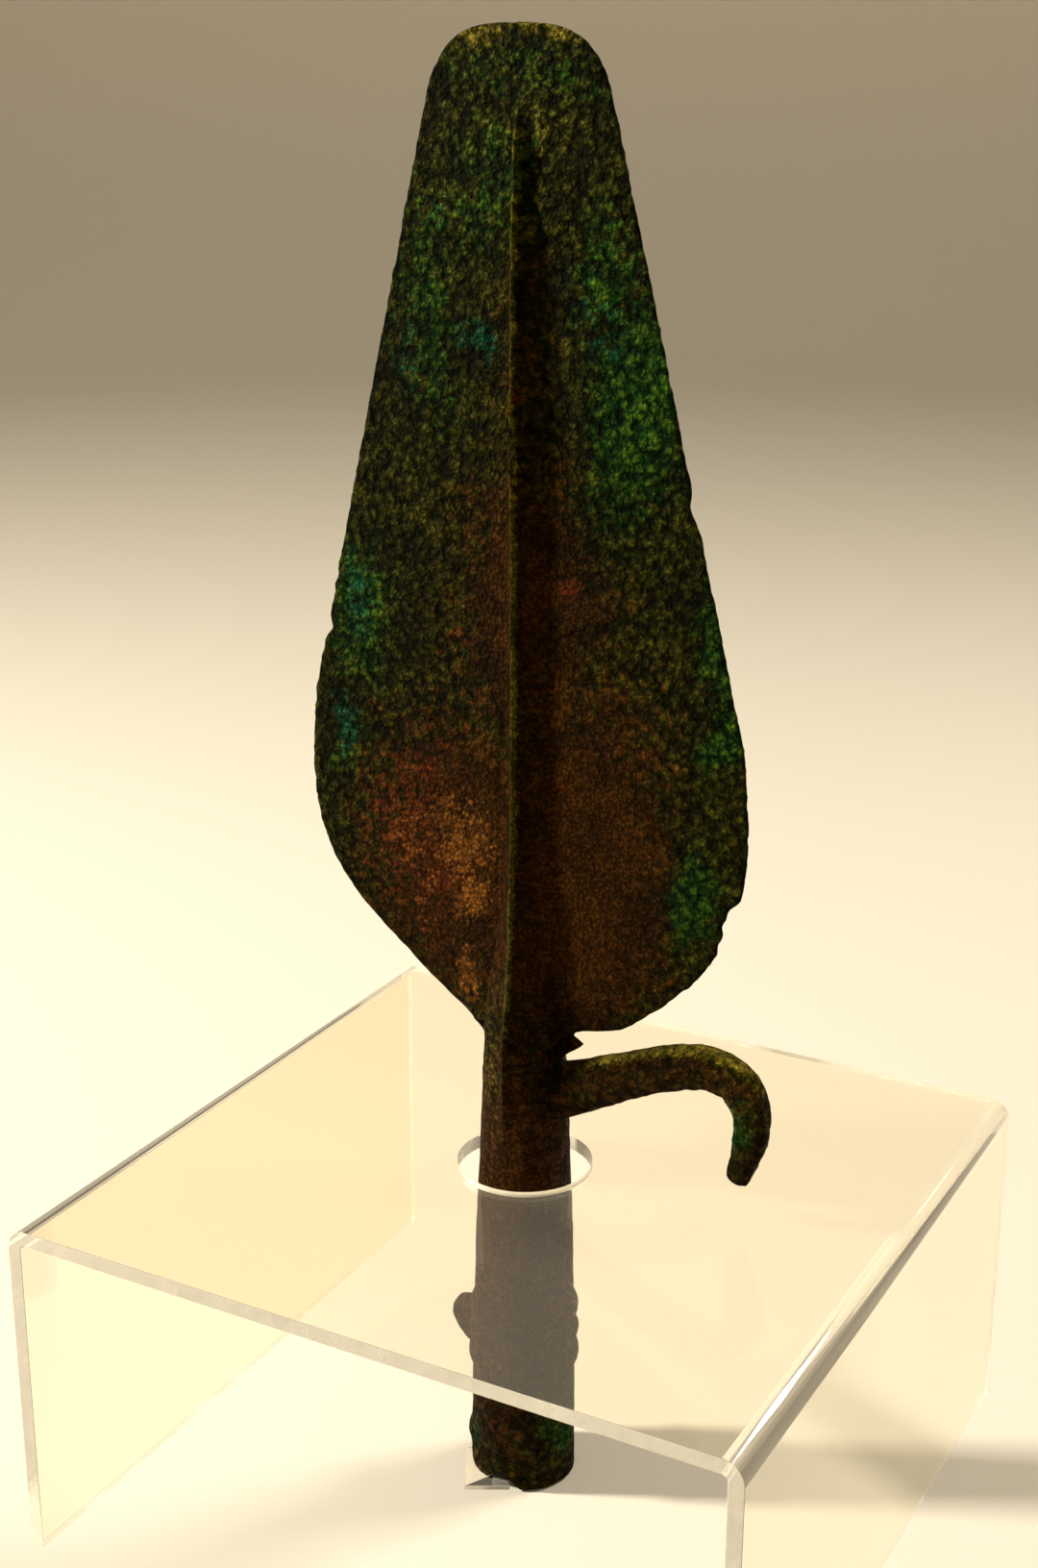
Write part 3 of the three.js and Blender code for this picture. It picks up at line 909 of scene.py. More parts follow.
@dataclass
class SpearheadCasting:
    """The whole bronze: blade with midrib, hollow socket with hoops, ear and barb hook."""

    axis_x: float = -6.0
    length: float = 615.0
    lean: float = 0.5  # degrees by which all above lean_start stands away from the hook's side
    lean_start: float = 170.0

    # The socket: a hollow cone that swells a little, with hoops near its mouth.
    mouth_radius: float = 23.0
    neck_radius: float = 17.4
    neck_height: float = 205.0
    socket_swell: float = 1.7
    cone_limit: float = 1.2  # the cone goes on to this many times the neck's height
    hoop_count: int = 3
    hoop_bottom: float = 50.4
    hoop_pitch: float = 11.3
    hoop_proud: float = 1.9
    wall: float = 3.2
    mouth_flare: float = 0.5
    bore_straight_top: float = 206.0
    bore_top: float = 221.0
    dome_tip_radius: float = 0.5
    lumps: tuple = (
        Lump(203, 15, 9, 2.0), Lump(232, 9, 5, 0.7), Lump(335, 24, 7, 0.5), Lump(350, 46, 5, 0.8),
        Lump(348, 100, 4, 0.9), Lump(352, 116, 5, 0.7),
    )  # fmt: skip

    # The mouth's worn rim, which squeezes the skin up as far as wear_top.
    rim_wear: tuple = (RimWear(232, 52, 14, 2.5), RimWear(270, 0, 28, 7.5))
    wear_top: float = 45.0
    crumb_size: float = 5.0
    crumb_height: float = 1.3
    crumb_share: float = 0.3  # how crumbled the rim is where it isn't worn
    crumb_wear: float = 2.0  # wear at which it is fully crumbled

    # The blade's outline: a curve up to the shoulder, a straight taper and a blunt tip.
    lower_edge: dict = field(
        default_factory=lambda: {
            -1: ((18.2, 207.4), (73.6, 255.9), (102.3, 261.7), (102.3, 320.0)),
            1: ((18.2, 205.5), (84.3, 247.4), (99.1, 269.6), (99.1, 320.0)),
        }
    )
    curve_steps: int = 200
    shoulder_height: float = 320.0
    shoulder_half_width: float = 100.7
    off_centre: float = 1.6
    taper_start: float = 350.0
    taper_half_width: float = 98.2
    taper: float = 0.245
    tip_start: float = 585.0
    tip_power: float = 3.0
    tip_rounding: float = 0.3

    # Its chips and nicks.
    chips: tuple = (
        Chip(1, 218, 6.5, 13), Chip(1, 279, 8.5, 4.4), Chip(1, 286, 5, 3.2), Chip(1, 271, 5, 2.2),
        Chip(1, 443, 9, 2), Chip(-1, 218, 8, 2), Chip(-1, 377, 7, 2),
    )  # fmt: skip
    jagged: tuple = (Chip(1, 262, 48, 0.5), Chip(-1, 385, 40, 0.5))  # deeper nicks, for a stretch
    nick_depth: float = 0.9
    nick_sizes: tuple = (7.0, 2.6)
    nick_shares: tuple = (1.0, 0.5)
    nick_lane: float = 40.0  # how far off the axis the noise for the nicks is read
    nick_start: tuple = (212.0, 226.0)

    # The blade's thickness.
    blade_half_thickness: float = 2.7
    edge_half_thickness: float = 1.0
    thinning: float = 1.5  # power by which the blade thins towards its edge
    edge_rounding: float = 1.7
    slope_step: float = 0.2  # half the stretch over which the edge's slope is measured
    steepest: float = 20.0
    blunt_start: tuple = (560.0, 600.0)  # over this stretch, rounding begins to follow the slope

    # Where the tube turns into the blade, past the neck.
    neck_blend: tuple = (-6.0, 9.0)
    plain_full: float = 222.0
    wing_full: float = 250.0
    ridge_full: float = 300.0

    # The midrib on each face: a wide rib, a narrow keel on the socket, a thin knobbly seam above.
    crest: tuple = (
        (205, 18.9), (216, 17.4), (232, 15), (259, 12.3), (284, 10.5), (320, 9),
        (400, 8.5), (481, 8.2), (522, 7.2), (556, 4.9), (586, 3.4), (592, 2.7),
    )  # fmt: skip
    rib_foot: tuple = (
        (205, 17.4), (226, 16), (250, 12.5), (283, 9), (320, 7.5), (430, 6.5), (556, 4.5), (592, 3),
    )  # fmt: skip
    rib_bulge: tuple = (2.0, 1.15)  # powers of the rib's outline: at the neck, and on the ridge
    rib_roundness: tuple = (0.5, 1.5)
    keel_proud: float = 2.2
    keel_half_width: float = 4.5
    keel_bottom: float = 150.0
    keel_full: float = 198.0
    seam_proud: float = 2.0
    seam_half_width: float = 2.8
    seam_start: tuple = (185.0, 215.0)
    seam_top: float = 582.0
    seam_fade: float = 6.0
    knob_lane: float = 3.0
    knob_size: float = 9.0
    knob_share: float = 0.7

    # The grid of the skin: columns in a quarter of a ring, then the heights of the rings.
    quarter: int = 63
    edge_columns: tuple = (0.0, 0.35, 0.9, 1.8)
    edge_share: float = 0.03  # of the wing, at most, between two of those
    foot_column: int = 51
    foot_limit: float = 0.9
    crest_crowding: float = 1.4
    rim_levels: tuple = (0.0, 0.5, 1.4)
    rim_easing: float = 0.7
    level_runs: tuple = ((3.5, 48, 14), (50.4, 84.3, 26), (87.5, 178, 27), (181, 586, 263))
    tip_levels: int = 22
    tip_reach: float = 28.0
    tip_first: float = 0.04
    tip_crowding: float = 1.8
    bore_levels: tuple = (0.0, 1.0, 12.0, 28.0, 60.0, 90.0, 130.0, 170.0)
    dome_shares: tuple = (0.45, 0.75, 0.93, 1.0)

    # How much less relief there is at the blade's edge and on its crest, over how many columns.
    edge_calm: float = 0.65
    edge_calm_columns: tuple = (0.0, 7.0)
    edge_calm_start: tuple = (215.0, 235.0)
    crest_calm: float = 0.6
    crest_calm_columns: tuple = (1.0, 6.0)
    crest_calm_start: tuple = (180.0, 210.0)
    relief_range: float = 1.6  # the relief that the finish reads as from all low to all high

    # The fillet at the hook's root, and the shading.
    root_box: tuple = ((17.5, -15.0, 168.0), (31.0, 15.0, 212.0))
    root_passes: int = 7
    sharp_from: float = 75.0

    def cone_radius(self, z: np.ndarray) -> np.ndarray:
        """The socket's radius: it narrows by a power of the height, so it stays full for longer."""
        rise = np.clip(z / self.neck_height, 0.0, self.cone_limit)
        return mix(self.mouth_radius, self.neck_radius, rise**self.socket_swell)

    def hoop(self, z: np.ndarray) -> np.ndarray:
        """How far the hoops stand out: the size of a sine, one half wave to a hoop."""
        turns = (z - self.hoop_bottom) / self.hoop_pitch
        on_hoops = (turns > 0) & (turns < self.hoop_count)
        return np.where(on_hoops, self.hoop_proud * np.abs(np.sin(math.pi * turns)), 0.0)

    def wear(self, degrees: np.ndarray) -> np.ndarray:
        """How far the mouth's rim is worn away at each angle: the most of its worn stretches."""
        found = np.zeros_like(degrees)
        for wear_and_highlight in self.rim_wear:
            beyond = np.maximum(np.abs(degrees - wear_and_highlight.middle) - wear_and_highlight.level, 0.0)
            found = np.maximum(found, wear_and_highlight.depth * swell(beyond, wear_and_highlight.fade))
        return found

    def half_width(self, side: int, z: np.ndarray) -> np.ndarray:
        """Half the blade's width on one side.

        Formula: a cubic curve from the neck out to the shoulder, then a straight taper, times a
        rounding that closes it at the blunt tip; less the chips, and less fine nicks by noise.

        Args:
            side: +1 for the hook's side, -1 for the other.
            z: heights.

        Returns:
            The half width at each height.
        """
        t = np.linspace(0.0, 1.0, self.curve_steps)[:, None]
        ends = np.array(self.lower_edge[side])
        weights = np.hstack([(1 - t) ** 3, 3 * t * (1 - t) ** 2, 3 * t * t * (1 - t), t**3])
        curve = weights @ ends
        lower = np.interp(z, curve[:, 1], curve[:, 0])
        top_half = self.taper_half_width - self.taper * (self.length - self.taper_start)
        known = (
            (self.shoulder_height, self.shoulder_half_width),
            (self.taper_start, self.taper_half_width),
            (self.length, top_half),
        )
        straight = np.interp(z, *np.array(known).T)
        up = np.clip((z - self.tip_start) / (self.length - self.tip_start), 0.0, 0.9999)
        rounded = straight * (1 - up**self.tip_power) ** self.tip_rounding - side * self.off_centre
        half = np.where(z < self.shoulder_height, lower, rounded)
        ragged = np.full_like(z, self.nick_depth)
        for chip in self.chips:
            if chip.side == side:
                half = half - chip.depth * swell(z - chip.height, chip.reach)
        for stretch in self.jagged:
            if stretch.side == side:
                ragged += stretch.depth * swell(z - stretch.height, stretch.reach)
        lane = np.stack([np.full_like(z, self.nick_lane * side), np.zeros_like(z), z], axis=1)
        nicks = sum(
            share * np.abs(Noise(seed).waves(lane, size, octaves))
            for seed, share, size, octaves in zip(
                (Seed.NICKS, Seed.FINE_NICKS), self.nick_shares, self.nick_sizes, (3, 1)
            )
        )
        return half - nicks * ragged * smooth(z, *self.nick_start)

    def blade_quarter(self, side: int, z: np.ndarray) -> tuple[np.ndarray, np.ndarray]:
        """The blade's section on one side, from the cutting edge to the crest.

        Formula: x runs over columns that crowd at the edge and at the crest. y is the plain
        blade's thickness, rounded off near the edge by a quarter circle, plus the midrib, which is
        a circle at the neck and a sharp ridge higher up, plus the thin seam along the crest.

        Args:
            side: +1 for the hook's side, -1 for the other.
            z: heights, shape (rows,).

        Returns:
            x and y, each of shape (rows, quarter + 1), both positive.
        """
        step = self.slope_step
        moved = (z - step, z, z + step)
        before, half, after = (self.half_width(side, at)[:, None] for at in moved)
        slope = (after - before) / (2 * step)
        z = z[:, None]
        column = np.arange(self.quarter + 1)
        rib = np.minimum(eased(self.rib_foot, z), half)
        foot = np.minimum(eased(self.rib_foot, z), half * self.foot_limit)
        wing = half - foot
        count = len(self.edge_columns)
        near = np.array(self.edge_columns) / wing
        near = np.minimum(near, self.edge_share * np.arange(count))
        rest = np.linspace(0.0, 1.0, self.foot_column - count + 2)[1:]
        in_from_edge = np.hstack([near, near[:, -1:] + (1 - near[:, -1:]) * rest])
        rib_share = np.linspace(1.0, 0.0, self.quarter - self.foot_column + 1)[1:]
        spread = np.hstack([half - wing * in_from_edge, foot * rib_share**self.crest_crowding])
        round_x = half * np.cos(column / self.quarter * QUARTER_TURN)
        x = mix(round_x, spread, smooth(z, self.neck_height, self.wing_full))

        out = np.clip((x - rib) / np.maximum(half - rib, 1.0), 0.0, 1.0)
        onset = smooth(z, self.neck_height, self.plain_full)
        blunt = np.minimum(slope**2, self.steepest**2) * smooth(z, *self.blunt_start)
        from_edge = (half - x) / np.sqrt(1.0 + blunt)
        inner = 1 - np.clip(from_edge / self.edge_rounding, 0.0, 1.0)
        rounding = np.sqrt(1 - inner**2)
        thickness = mix(self.blade_half_thickness, self.edge_half_thickness, out**self.thinning)
        ridge = smooth(z, self.neck_height, self.ridge_full)
        bulge, roundness = mix(*self.rib_bulge, ridge), mix(*self.rib_roundness, ridge)
        shape = np.maximum(1 - np.minimum(x / rib, 1.0) ** bulge, 0.0) ** roundness
        keel = self.keel_proud * (1 - ridge)
        rise = eased(self.crest, z) - onset * self.blade_half_thickness - keel
        y = onset * rounding * thickness + np.maximum(rise, 0.0) * shape + self.keel(keel, x)
        return x, y + self.seam(x, z) * rounding

    def keel(self, proud: np.ndarray, x: np.ndarray) -> np.ndarray:
        """The narrow keel down the middle of each face: it falls off evenly to both sides."""
        return proud * np.maximum(1 - x / self.keel_half_width, 0.0)

    def seam(self, x: np.ndarray, z: np.ndarray) -> np.ndarray:
        """The thin, knobbly line along the crest: a raised cosine across, noise along it."""
        lane = np.stack([np.full(z.size, self.knob_lane), np.zeros(z.size), z.ravel()], axis=1)
        knobs = Noise(Seed.SEAM_KNOBS).waves(lane, self.knob_size, 2).reshape(z.shape)
        height = self.seam_proud * (1.0 + self.knob_share * knobs) * smooth(z, *self.seam_start)
        return height * self.below_seam_top(z) * swell(x, self.seam_half_width)

    def below_seam_top(self, z: np.ndarray) -> np.ndarray:
        """1 below the seam's upper end, fading to 0 over its last stretch."""
        return smooth(-z, -self.seam_top, self.seam_fade - self.seam_top)

    def rings(self, z: np.ndarray) -> np.ndarray:
        """The outside of the casting, one closed ring for each height.

        Formula: four quarters set round the axis, a circle on the socket and the blade's section
        above, with a few millimetres in which the one turns into the other.

        Args:
            z: heights.

        Returns:
            Points, shape (heights, 4 * quarter, 3).
        """
        count = 4 * self.quarter
        step = np.arange(count)
        turn = step % (2 * self.quarter)
        column = np.where(turn <= self.quarter, turn, 2 * self.quarter - turn)
        right = (step <= self.quarter) | (step >= 3 * self.quarter)
        sign_x, sign_y = np.where(right, 1, -1), np.where(step > 2 * self.quarter, -1, 1)
        angle = column / self.quarter * QUARTER_TURN
        degrees = self.degrees()

        radius = (self.cone_radius(z) + self.hoop(z))[:, None]
        for lump in self.lumps:
            turned = np.abs((degrees - lump.angle + 180) % 360 - 180)
            around = np.radians(turned)[None, :] * self.mouth_radius
            away = np.hypot(around, (z - lump.height)[:, None])
            radius = radius + lump.proud * swell(away, lump.reach)
        keel = self.keel_proud * smooth(z, self.keel_bottom, self.keel_full)[:, None]
        tube_x = radius * np.cos(angle)
        tube_y = radius * np.sin(angle) + self.keel(keel, tube_x)

        up = np.maximum(z, self.neck_height)
        (hook_x, hook_y), (away_x, away_y) = (self.blade_quarter(side, up) for side in (1, -1))
        blade_x = np.where(right, hook_x[:, column], away_x[:, column])
        blade_y = np.where(right, hook_y[:, column], away_y[:, column])
        low, high = self.neck_blend
        on_blade = smooth(z, self.neck_height + low, self.neck_height + high)[:, None]
        x, y = mix(tube_x, blade_x, on_blade), mix(tube_y, blade_y, on_blade)
        return self.placed(sign_x * x, sign_y * y, z)

    def degrees(self) -> np.ndarray:
        """The angle round the axis of each point of a ring."""
        return np.arange(4 * self.quarter) / (4 * self.quarter) * 360.0

    def placed(self, x: np.ndarray, y: np.ndarray, z: np.ndarray) -> np.ndarray:
        """Sets rings at their heights, squeezed up over the wear of the mouth and leaning above.

        Args:
            x: shape (heights, points in a ring).
            y: the same shape.
            z: heights.

        Returns:
            Points, shape (heights, points in a ring, 3).
        """
        turn = np.radians(self.degrees())
        rim = np.stack([np.cos(turn), np.sin(turn), np.zeros_like(turn)], 1) * self.mouth_radius
        crumbs = self.crumb_height * np.abs(Noise(Seed.RIM_CRUMBS).waves(rim, self.crumb_size, 2))
        wear = self.wear(self.degrees())
        low = wear + crumbs * (self.crumb_share + smooth(wear, 0.0, self.crumb_wear))
        share = np.clip(z / self.wear_top, 0.0, 1.0)[:, None]
        squeezed = mix(low[None, :], self.wear_top, share)
        level = np.where(z[:, None] < self.wear_top, squeezed, z[:, None])
        return np.stack([x - self.sway(level), y, level], axis=-1)

    def sway(self, z: np.ndarray) -> np.ndarray:
        """How far the leaning part stands away from the hook's side at each height."""
        return np.maximum(z - self.lean_start, 0.0) * math.tan(math.radians(self.lean))

    def calm(self, z: np.ndarray) -> np.ndarray:
        """How much less relief there is near the blade's edge and crest, by ring and column."""
        step = np.arange(4 * self.quarter) % (2 * self.quarter)
        from_edge = np.minimum(step, 2 * self.quarter - step)
        from_crest = np.abs(step - self.quarter)
        edge = self.edge_calm * (1 - smooth(from_edge, *self.edge_calm_columns))
        crest = self.crest_calm * (1 - smooth(from_crest, *self.crest_calm_columns))
        edge = edge * smooth(z, *self.edge_calm_start)[:, None]
        return np.maximum(edge, crest * smooth(z, *self.crest_calm_start)[:, None])

    def skin_rings(self) -> np.ndarray:
        """The outside of the casting from the rim to the tip, with its relief raised."""
        near_tip = (1 - np.linspace(self.tip_first, 1.0, self.tip_levels)) ** self.tip_crowding
        runs = (np.linspace(*run) for run in self.level_runs)
        levels = [np.array(self.rim_levels), *runs, self.length - self.tip_reach * near_tip]
        levels = np.concatenate(levels)
        rings = self.rings(levels)
        rings[0, :, :2] *= 1 - self.rim_easing / self.mouth_radius
        lift = CrustRelief().at(rings.reshape(-1, 3)).reshape(rings.shape[:2])
        lift = lift * (1.0 - self.calm(levels))
        return rings + grid_normals(rings) * lift[..., None]

    def bore_rings(self) -> np.ndarray:
        """The hollow's wall from the mouth up, closed by a dome: a quarter of an ellipse."""
        levels = np.array([*self.bore_levels, self.bore_straight_top])
        radii = self.cone_radius(levels) - self.wall
        radii[0] += self.mouth_flare
        dome = np.array(self.dome_shares)
        dome_levels = mix(self.bore_straight_top, self.bore_top, dome)
        dome_radii = np.maximum(radii[-1] * np.sqrt(1 - dome**2), self.dome_tip_radius)
        levels, radii = np.append(levels, dome_levels), np.append(radii, dome_radii)[:, None]
        turn = np.radians(self.degrees())[None, :]
        return self.placed(radii * np.cos(turn), radii * np.sin(turn), levels)

    def build(self, hook: "BarbHook", ear: "SocketEar") -> bpy.types.Object:
        """Makes the whole casting as one closed piece and paints its patina.

        Args:
            hook: the barb hook, joined to the socket.
            ear: the ear, joined to the hoops.

        Returns:
            The finished piece.
        """
        place = np.array([self.axis_x, 0.0, 0.0])
        points, faces = skin(np.concatenate([self.skin_rings()[::-1], self.bore_rings()]))
        casting = mesh_object("spearhead_casting", points + place, faces)
        for part in (hook, ear):
            rings = part.rings()
            lift = CrustRelief().at(rings.reshape(-1, 3)).reshape(rings.shape[:2])
            rings = rings + part.outward(rings) * (lift * part.roughening)[..., None]
            part_points, part_faces = skin(rings)
            combine(casting, mesh_object("part", part_points + place, part_faces), Joining.ADD)
        self.soften_root(casting)
        shade(casting, self.sharp_from)
        self.paint(casting)
        return casting

    def soften_root(self, casting: bpy.types.Object) -> None:
        """Rounds the corner where the hook leaves the socket, as a casting's fillet does."""
        shape = bmesh.new()
        shape.from_mesh(casting.data)
        low, high = self.root_box
        place = (self.axis_x, 0.0, 0.0)
        root = [
            vertex
            for vertex in shape.verts
            if all(a < c / MM - p < b for a, b, c, p in zip(low, high, vertex.co, place))
        ]
        ways = {"use_axis_x": True, "use_axis_y": True, "use_axis_z": True}
        for _ in range(self.root_passes):
            bmesh.ops.smooth_vert(shape, verts=root, factor=0.5, **ways)
        shape.to_mesh(casting.data)
        shape.free()

    def paint(self, casting: bpy.types.Object) -> None:
        """Writes each tint's share at every corner of the mesh as an attribute."""
        mesh = casting.data
        points = read_triples(mesh.vertices, "co") / MM - np.array([self.axis_x, 0.0, 0.0])
        x, z = points[:, 0], points[:, 2]
        # The seam and the normals' upward part place olive painted highlight along the seam and on
        # what faces up.
        seam = swell(x + self.sway(z), self.seam_half_width) * self.below_seam_top(z)
        facing = read_triples(mesh.vertices, "normal")[:, 2]
        shares = Patina().films_and_highlights(points, facing, seam)
        painted = {tint.value: share for tint, share in shares.items()}
        relief = CrustRelief().at(points)
        painted["relief"] = np.clip(0.5 + relief / self.relief_range, 0.0, 1.0)
        for name, share in painted.items():
            numbers = mesh.attributes.new(name, "FLOAT", "POINT").data
            numbers.foreach_set("value", share.astype(np.float32))


def run_along(corners: np.ndarray) -> np.ndarray:
    """How far along a line each of its corners lies, from 0 at the first."""
    return np.concatenate([[0.0], np.cumsum(np.hypot(*np.diff(corners, axis=0).T))])


def squared(wave: np.ndarray, squareness: float) -> np.ndarray:
    """A sine or cosine bent so that its circle becomes a superellipse of that power."""
    return np.sign(wave) * np.abs(wave) ** (2 / squareness)


@dataclass
class BarbHook:
    """A tapering bar that leaves the socket, bends over and comes back down beside it."""

    line: tuple = (
        (15.6, 189.0), (30, 195.7), (50, 205), (70, 212.9), (86, 215.8), (96.5, 212.3),
        (102.8, 203), (103.9, 193), (101.8, 181.5), (98.2, 169),
    )  # fmt: skip
    breadth: tuple = (
        (0, 13.5), (0.1, 11.5), (0.3, 9.8), (0.55, 9.1), (0.75, 7.8), (0.93, 5.6), (0.985, 4.2),
        (1, 2.4),
    )  # fmt: skip
    thickness: tuple = (
        (0, 8), (0.1, 7), (0.5, 6.4), (0.8, 6), (0.93, 4.8), (0.985, 3.5), (1, 1.8),
    )  # fmt: skip
    squareness: float = 2.7
    upright_until: float = 0.12  # share of the hook over which its sections turn square to it
    end_crowding: tuple = (0.35, 6)  # how much closer the last sections stand, and its power
    count: int = 96
    sides: int = 32
    roughening: float = 0.9

    def rings(self) -> np.ndarray:
        """Sections along the hook.

        Formula: a rounded curve through the line's points; each section is a superellipse square
        to the curve, in which the first ones stand upright against the socket's wall.

        Returns:
            Points from the casting's axis, shape (sections, sides, 3).
        """
        known = np.array(self.line, float)
        run = run_along(known)
        share = np.linspace(0.0, 1.0, self.count)
        closer, power = self.end_crowding
        share = 1 - (1 - share) * (1 - closer * share**power)
        x, z = (eased(tuple(zip(run, known[:, way])), share * run[-1]) for way in (0, 1))
        ahead = unit(np.stack([np.gradient(x), np.gradient(z)], axis=1))
        upright = smooth(share, 0.0, self.upright_until)[:, None]
        square_to = np.stack([-ahead[:, 1], ahead[:, 0]], axis=1)
        across = unit(mix(np.array([0.0, 1.0]), square_to, upright))
        angle = np.arange(self.sides) / self.sides * 4 * QUARTER_TURN
        wide = squared(np.cos(angle), self.squareness) * eased(self.breadth, share)[:, None]
        thick = squared(np.sin(angle), self.squareness) * eased(self.thickness, share)[:, None]
        places = x[:, None] + across[:, :1] * wide, thick, z[:, None] + across[:, 1:] * wide
        return np.stack(places, axis=-1)

    def outward(self, rings: np.ndarray) -> np.ndarray:
        """Directions away from the bar's middle line."""
        return unit(rings - rings.mean(axis=1, keepdims=True))


@dataclass
class SocketEar:
    """A broken, rounded lug over the hoops on the side away from the hook."""

    outline: tuple = (
        (-20.6, 73), (-25, 74.4), (-29.2, 73.4), (-32.6, 72.8), (-35, 68.5), (-35.3, 64),
        (-32.4, 58), (-28, 53), (-20.6, 49.5),
    )  # fmt: skip
    half_thickness: float = 4.6
    squareness: float = 3.0
    face_turn: float = 0.12  # radians left out at the middle of each face
    count: int = 17
    sides: int = 44
    roughening: float = 1.3

    def rings(self) -> np.ndarray:
        """Loops from the middle of the back face, out round the outline, to the front's middle.

        Formula: the outline drawn in towards its middle, with the thickness of a superellipse.

        Returns:
            Points from the casting's axis, shape (loops, sides, 3).
        """
        known = np.array(self.outline + self.outline[:1], float)
        run = run_along(known)
        at = np.arange(self.sides) / self.sides * run[-1]
        edge = np.stack([np.interp(at, run, known[:, way]) for way in (0, 1)], axis=1)
        edge = (np.roll(edge, 1, 0) + 2 * edge + np.roll(edge, -1, 0)) / 4
        middle = edge.mean(axis=0)
        last = QUARTER_TURN - self.face_turn
        turn = np.linspace(-last, last, self.count)
        inward = squared(np.cos(turn), self.squareness)[:, None, None]
        depth = squared(np.sin(turn), self.squareness) * self.half_thickness
        flat = middle + (edge - middle)[None] * inward
        deep = np.broadcast_to(depth[:, None], flat.shape[:2])
        return np.stack([flat[..., 0], deep, flat[..., 1]], axis=-1)

    def outward(self, rings: np.ndarray) -> np.ndarray:
        """Directions away from the middle of the lug."""
        return unit(rings - rings.reshape(-1, 3).mean(axis=0))


# ---- The stand and the shim ---------------------------------------------------------------------


@dataclass
class BridgeStand:
    """A clear sheet bent twice into a bridge, with a round hole for the socket."""

    hole_x: float
    sheet: float = 6.4
    bend_radius: float = 9.0
    hole_radius: float = 28.8
    bend_steps: int = 20
    hole_steps: int = 160
    chamfer: float = 0.45
    ease_from: float = 50.0
    facing: float = 0.6  # a normal's part from which a face counts as facing that way
    bent_from: float = 0.02
    hole_margin: float = 0.2
    foot_top: float = 1.0
    bend_clearness: float = 0.82

    def section(self, half: float, height: float) -> np.ndarray:
        """The bent sheet's outline in X and Z: up the outside, over, and back along the inside.

        Args:
            half: half the stand's width.
            height: the stand's height.

        Returns:
            The outline's points, shape (n, 2).
        """
        turn = np.linspace(0.0, QUARTER_TURN, self.bend_steps)
        middle_x, middle_z = half - self.bend_radius, height - self.bend_radius

        def bend(side: int, radius: float) -> np.ndarray:
            """One bend's arc, from its upright end to its level end."""
            x = side * (middle_x + radius * np.cos(turn))
            return np.stack([x, middle_z + radius * np.sin(turn)], axis=1)

        outer, inner, foot = self.bend_radius, self.bend_radius - self.sheet, half - self.sheet
        return np.concatenate([
            [[-half, 0.0]], bend(-1, outer), bend(1, outer)[::-1], [[half, 0.0]],
            [[foot, 0.0]], bend(1, inner), bend(-1, inner)[::-1], [[-foot, 0.0]],
        ])  # fmt: skip

    def build(self) -> bpy.types.Object:
        """Bends the sheet, cuts the hole and eases the edges.

        Returns:
            The finished piece.
        """
        low, high = (np.array(corner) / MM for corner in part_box("acrylic_stand"))
        outline = self.section((high[0] - low[0]) / 2, high[2])
        middle = (high[0] + low[0]) / 2
        ends = [
            np.stack([outline[:, 0] + middle, np.full(len(outline), y), outline[:, 1]], axis=1)
            for y in (low[1], high[1])
        ]
        count = len(outline)
        here = np.arange(count)
        after = (here + 1) % count
        sides = np.stack([here, after, after + count, here + count], axis=1).tolist()
        caps = [here[::-1].tolist(), (here + count).tolist()]
        stand = mesh_object("bridge_stand", np.concatenate(ends), sides + caps)

        turn = np.arange(self.hole_steps) / self.hole_steps * 4 * QUARTER_TURN
        circle = self.hole_radius * np.stack([np.cos(turn), np.sin(turn)], axis=1)
        circle[:, 0] += self.hole_x
        heights = (high[2] - 2 * self.sheet, high[2] + self.sheet)
        rings = np.stack([np.column_stack([circle, np.full(len(circle), z)]) for z in heights])
        combine(stand, mesh_object("drill", *skin(rings)), Joining.CUT)
        ease_edges(stand, self.chamfer, self.ease_from)
        return stand

    def dress(self, stand: bpy.types.Object) -> None:
        """Gives the faces clear acrylic, and the cut edges and the hole's wall the sawn finish."""
        stand.data.materials.clear()
        for finish in (
            ClearAcrylic().material("clear_acrylic"),
            SawnAcrylic().material(),
            ClearAcrylic(clearness=self.bend_clearness).material("bent_acrylic"),
        ):
            stand.data.materials.append(finish)
        polygons = stand.data.polygons
        normals, middles = read_triples(polygons, "normal"), read_triples(polygons, "center") / MM
        x, y, z = np.abs(normals).T
        from_hole = np.hypot(middles[:, 0] - self.hole_x, middles[:, 1])
        near_hole = from_hole < self.hole_radius + self.hole_margin
        on_foot = (normals[:, 2] < -self.facing) & (middles[:, 2] <= self.foot_top)
        cut = (y > self.facing) | (near_hole & (z < self.facing))
        cut = (cut & (normals[:, 2] >= -self.facing)) | on_foot
        bent = (np.minimum(x, z) > self.bent_from) & (y < self.bent_from) & ~near_hole
        polygons.foreach_set("material_index", np.where(bent, 2, cut).astype(np.int32))
        let_light_pass(stand)


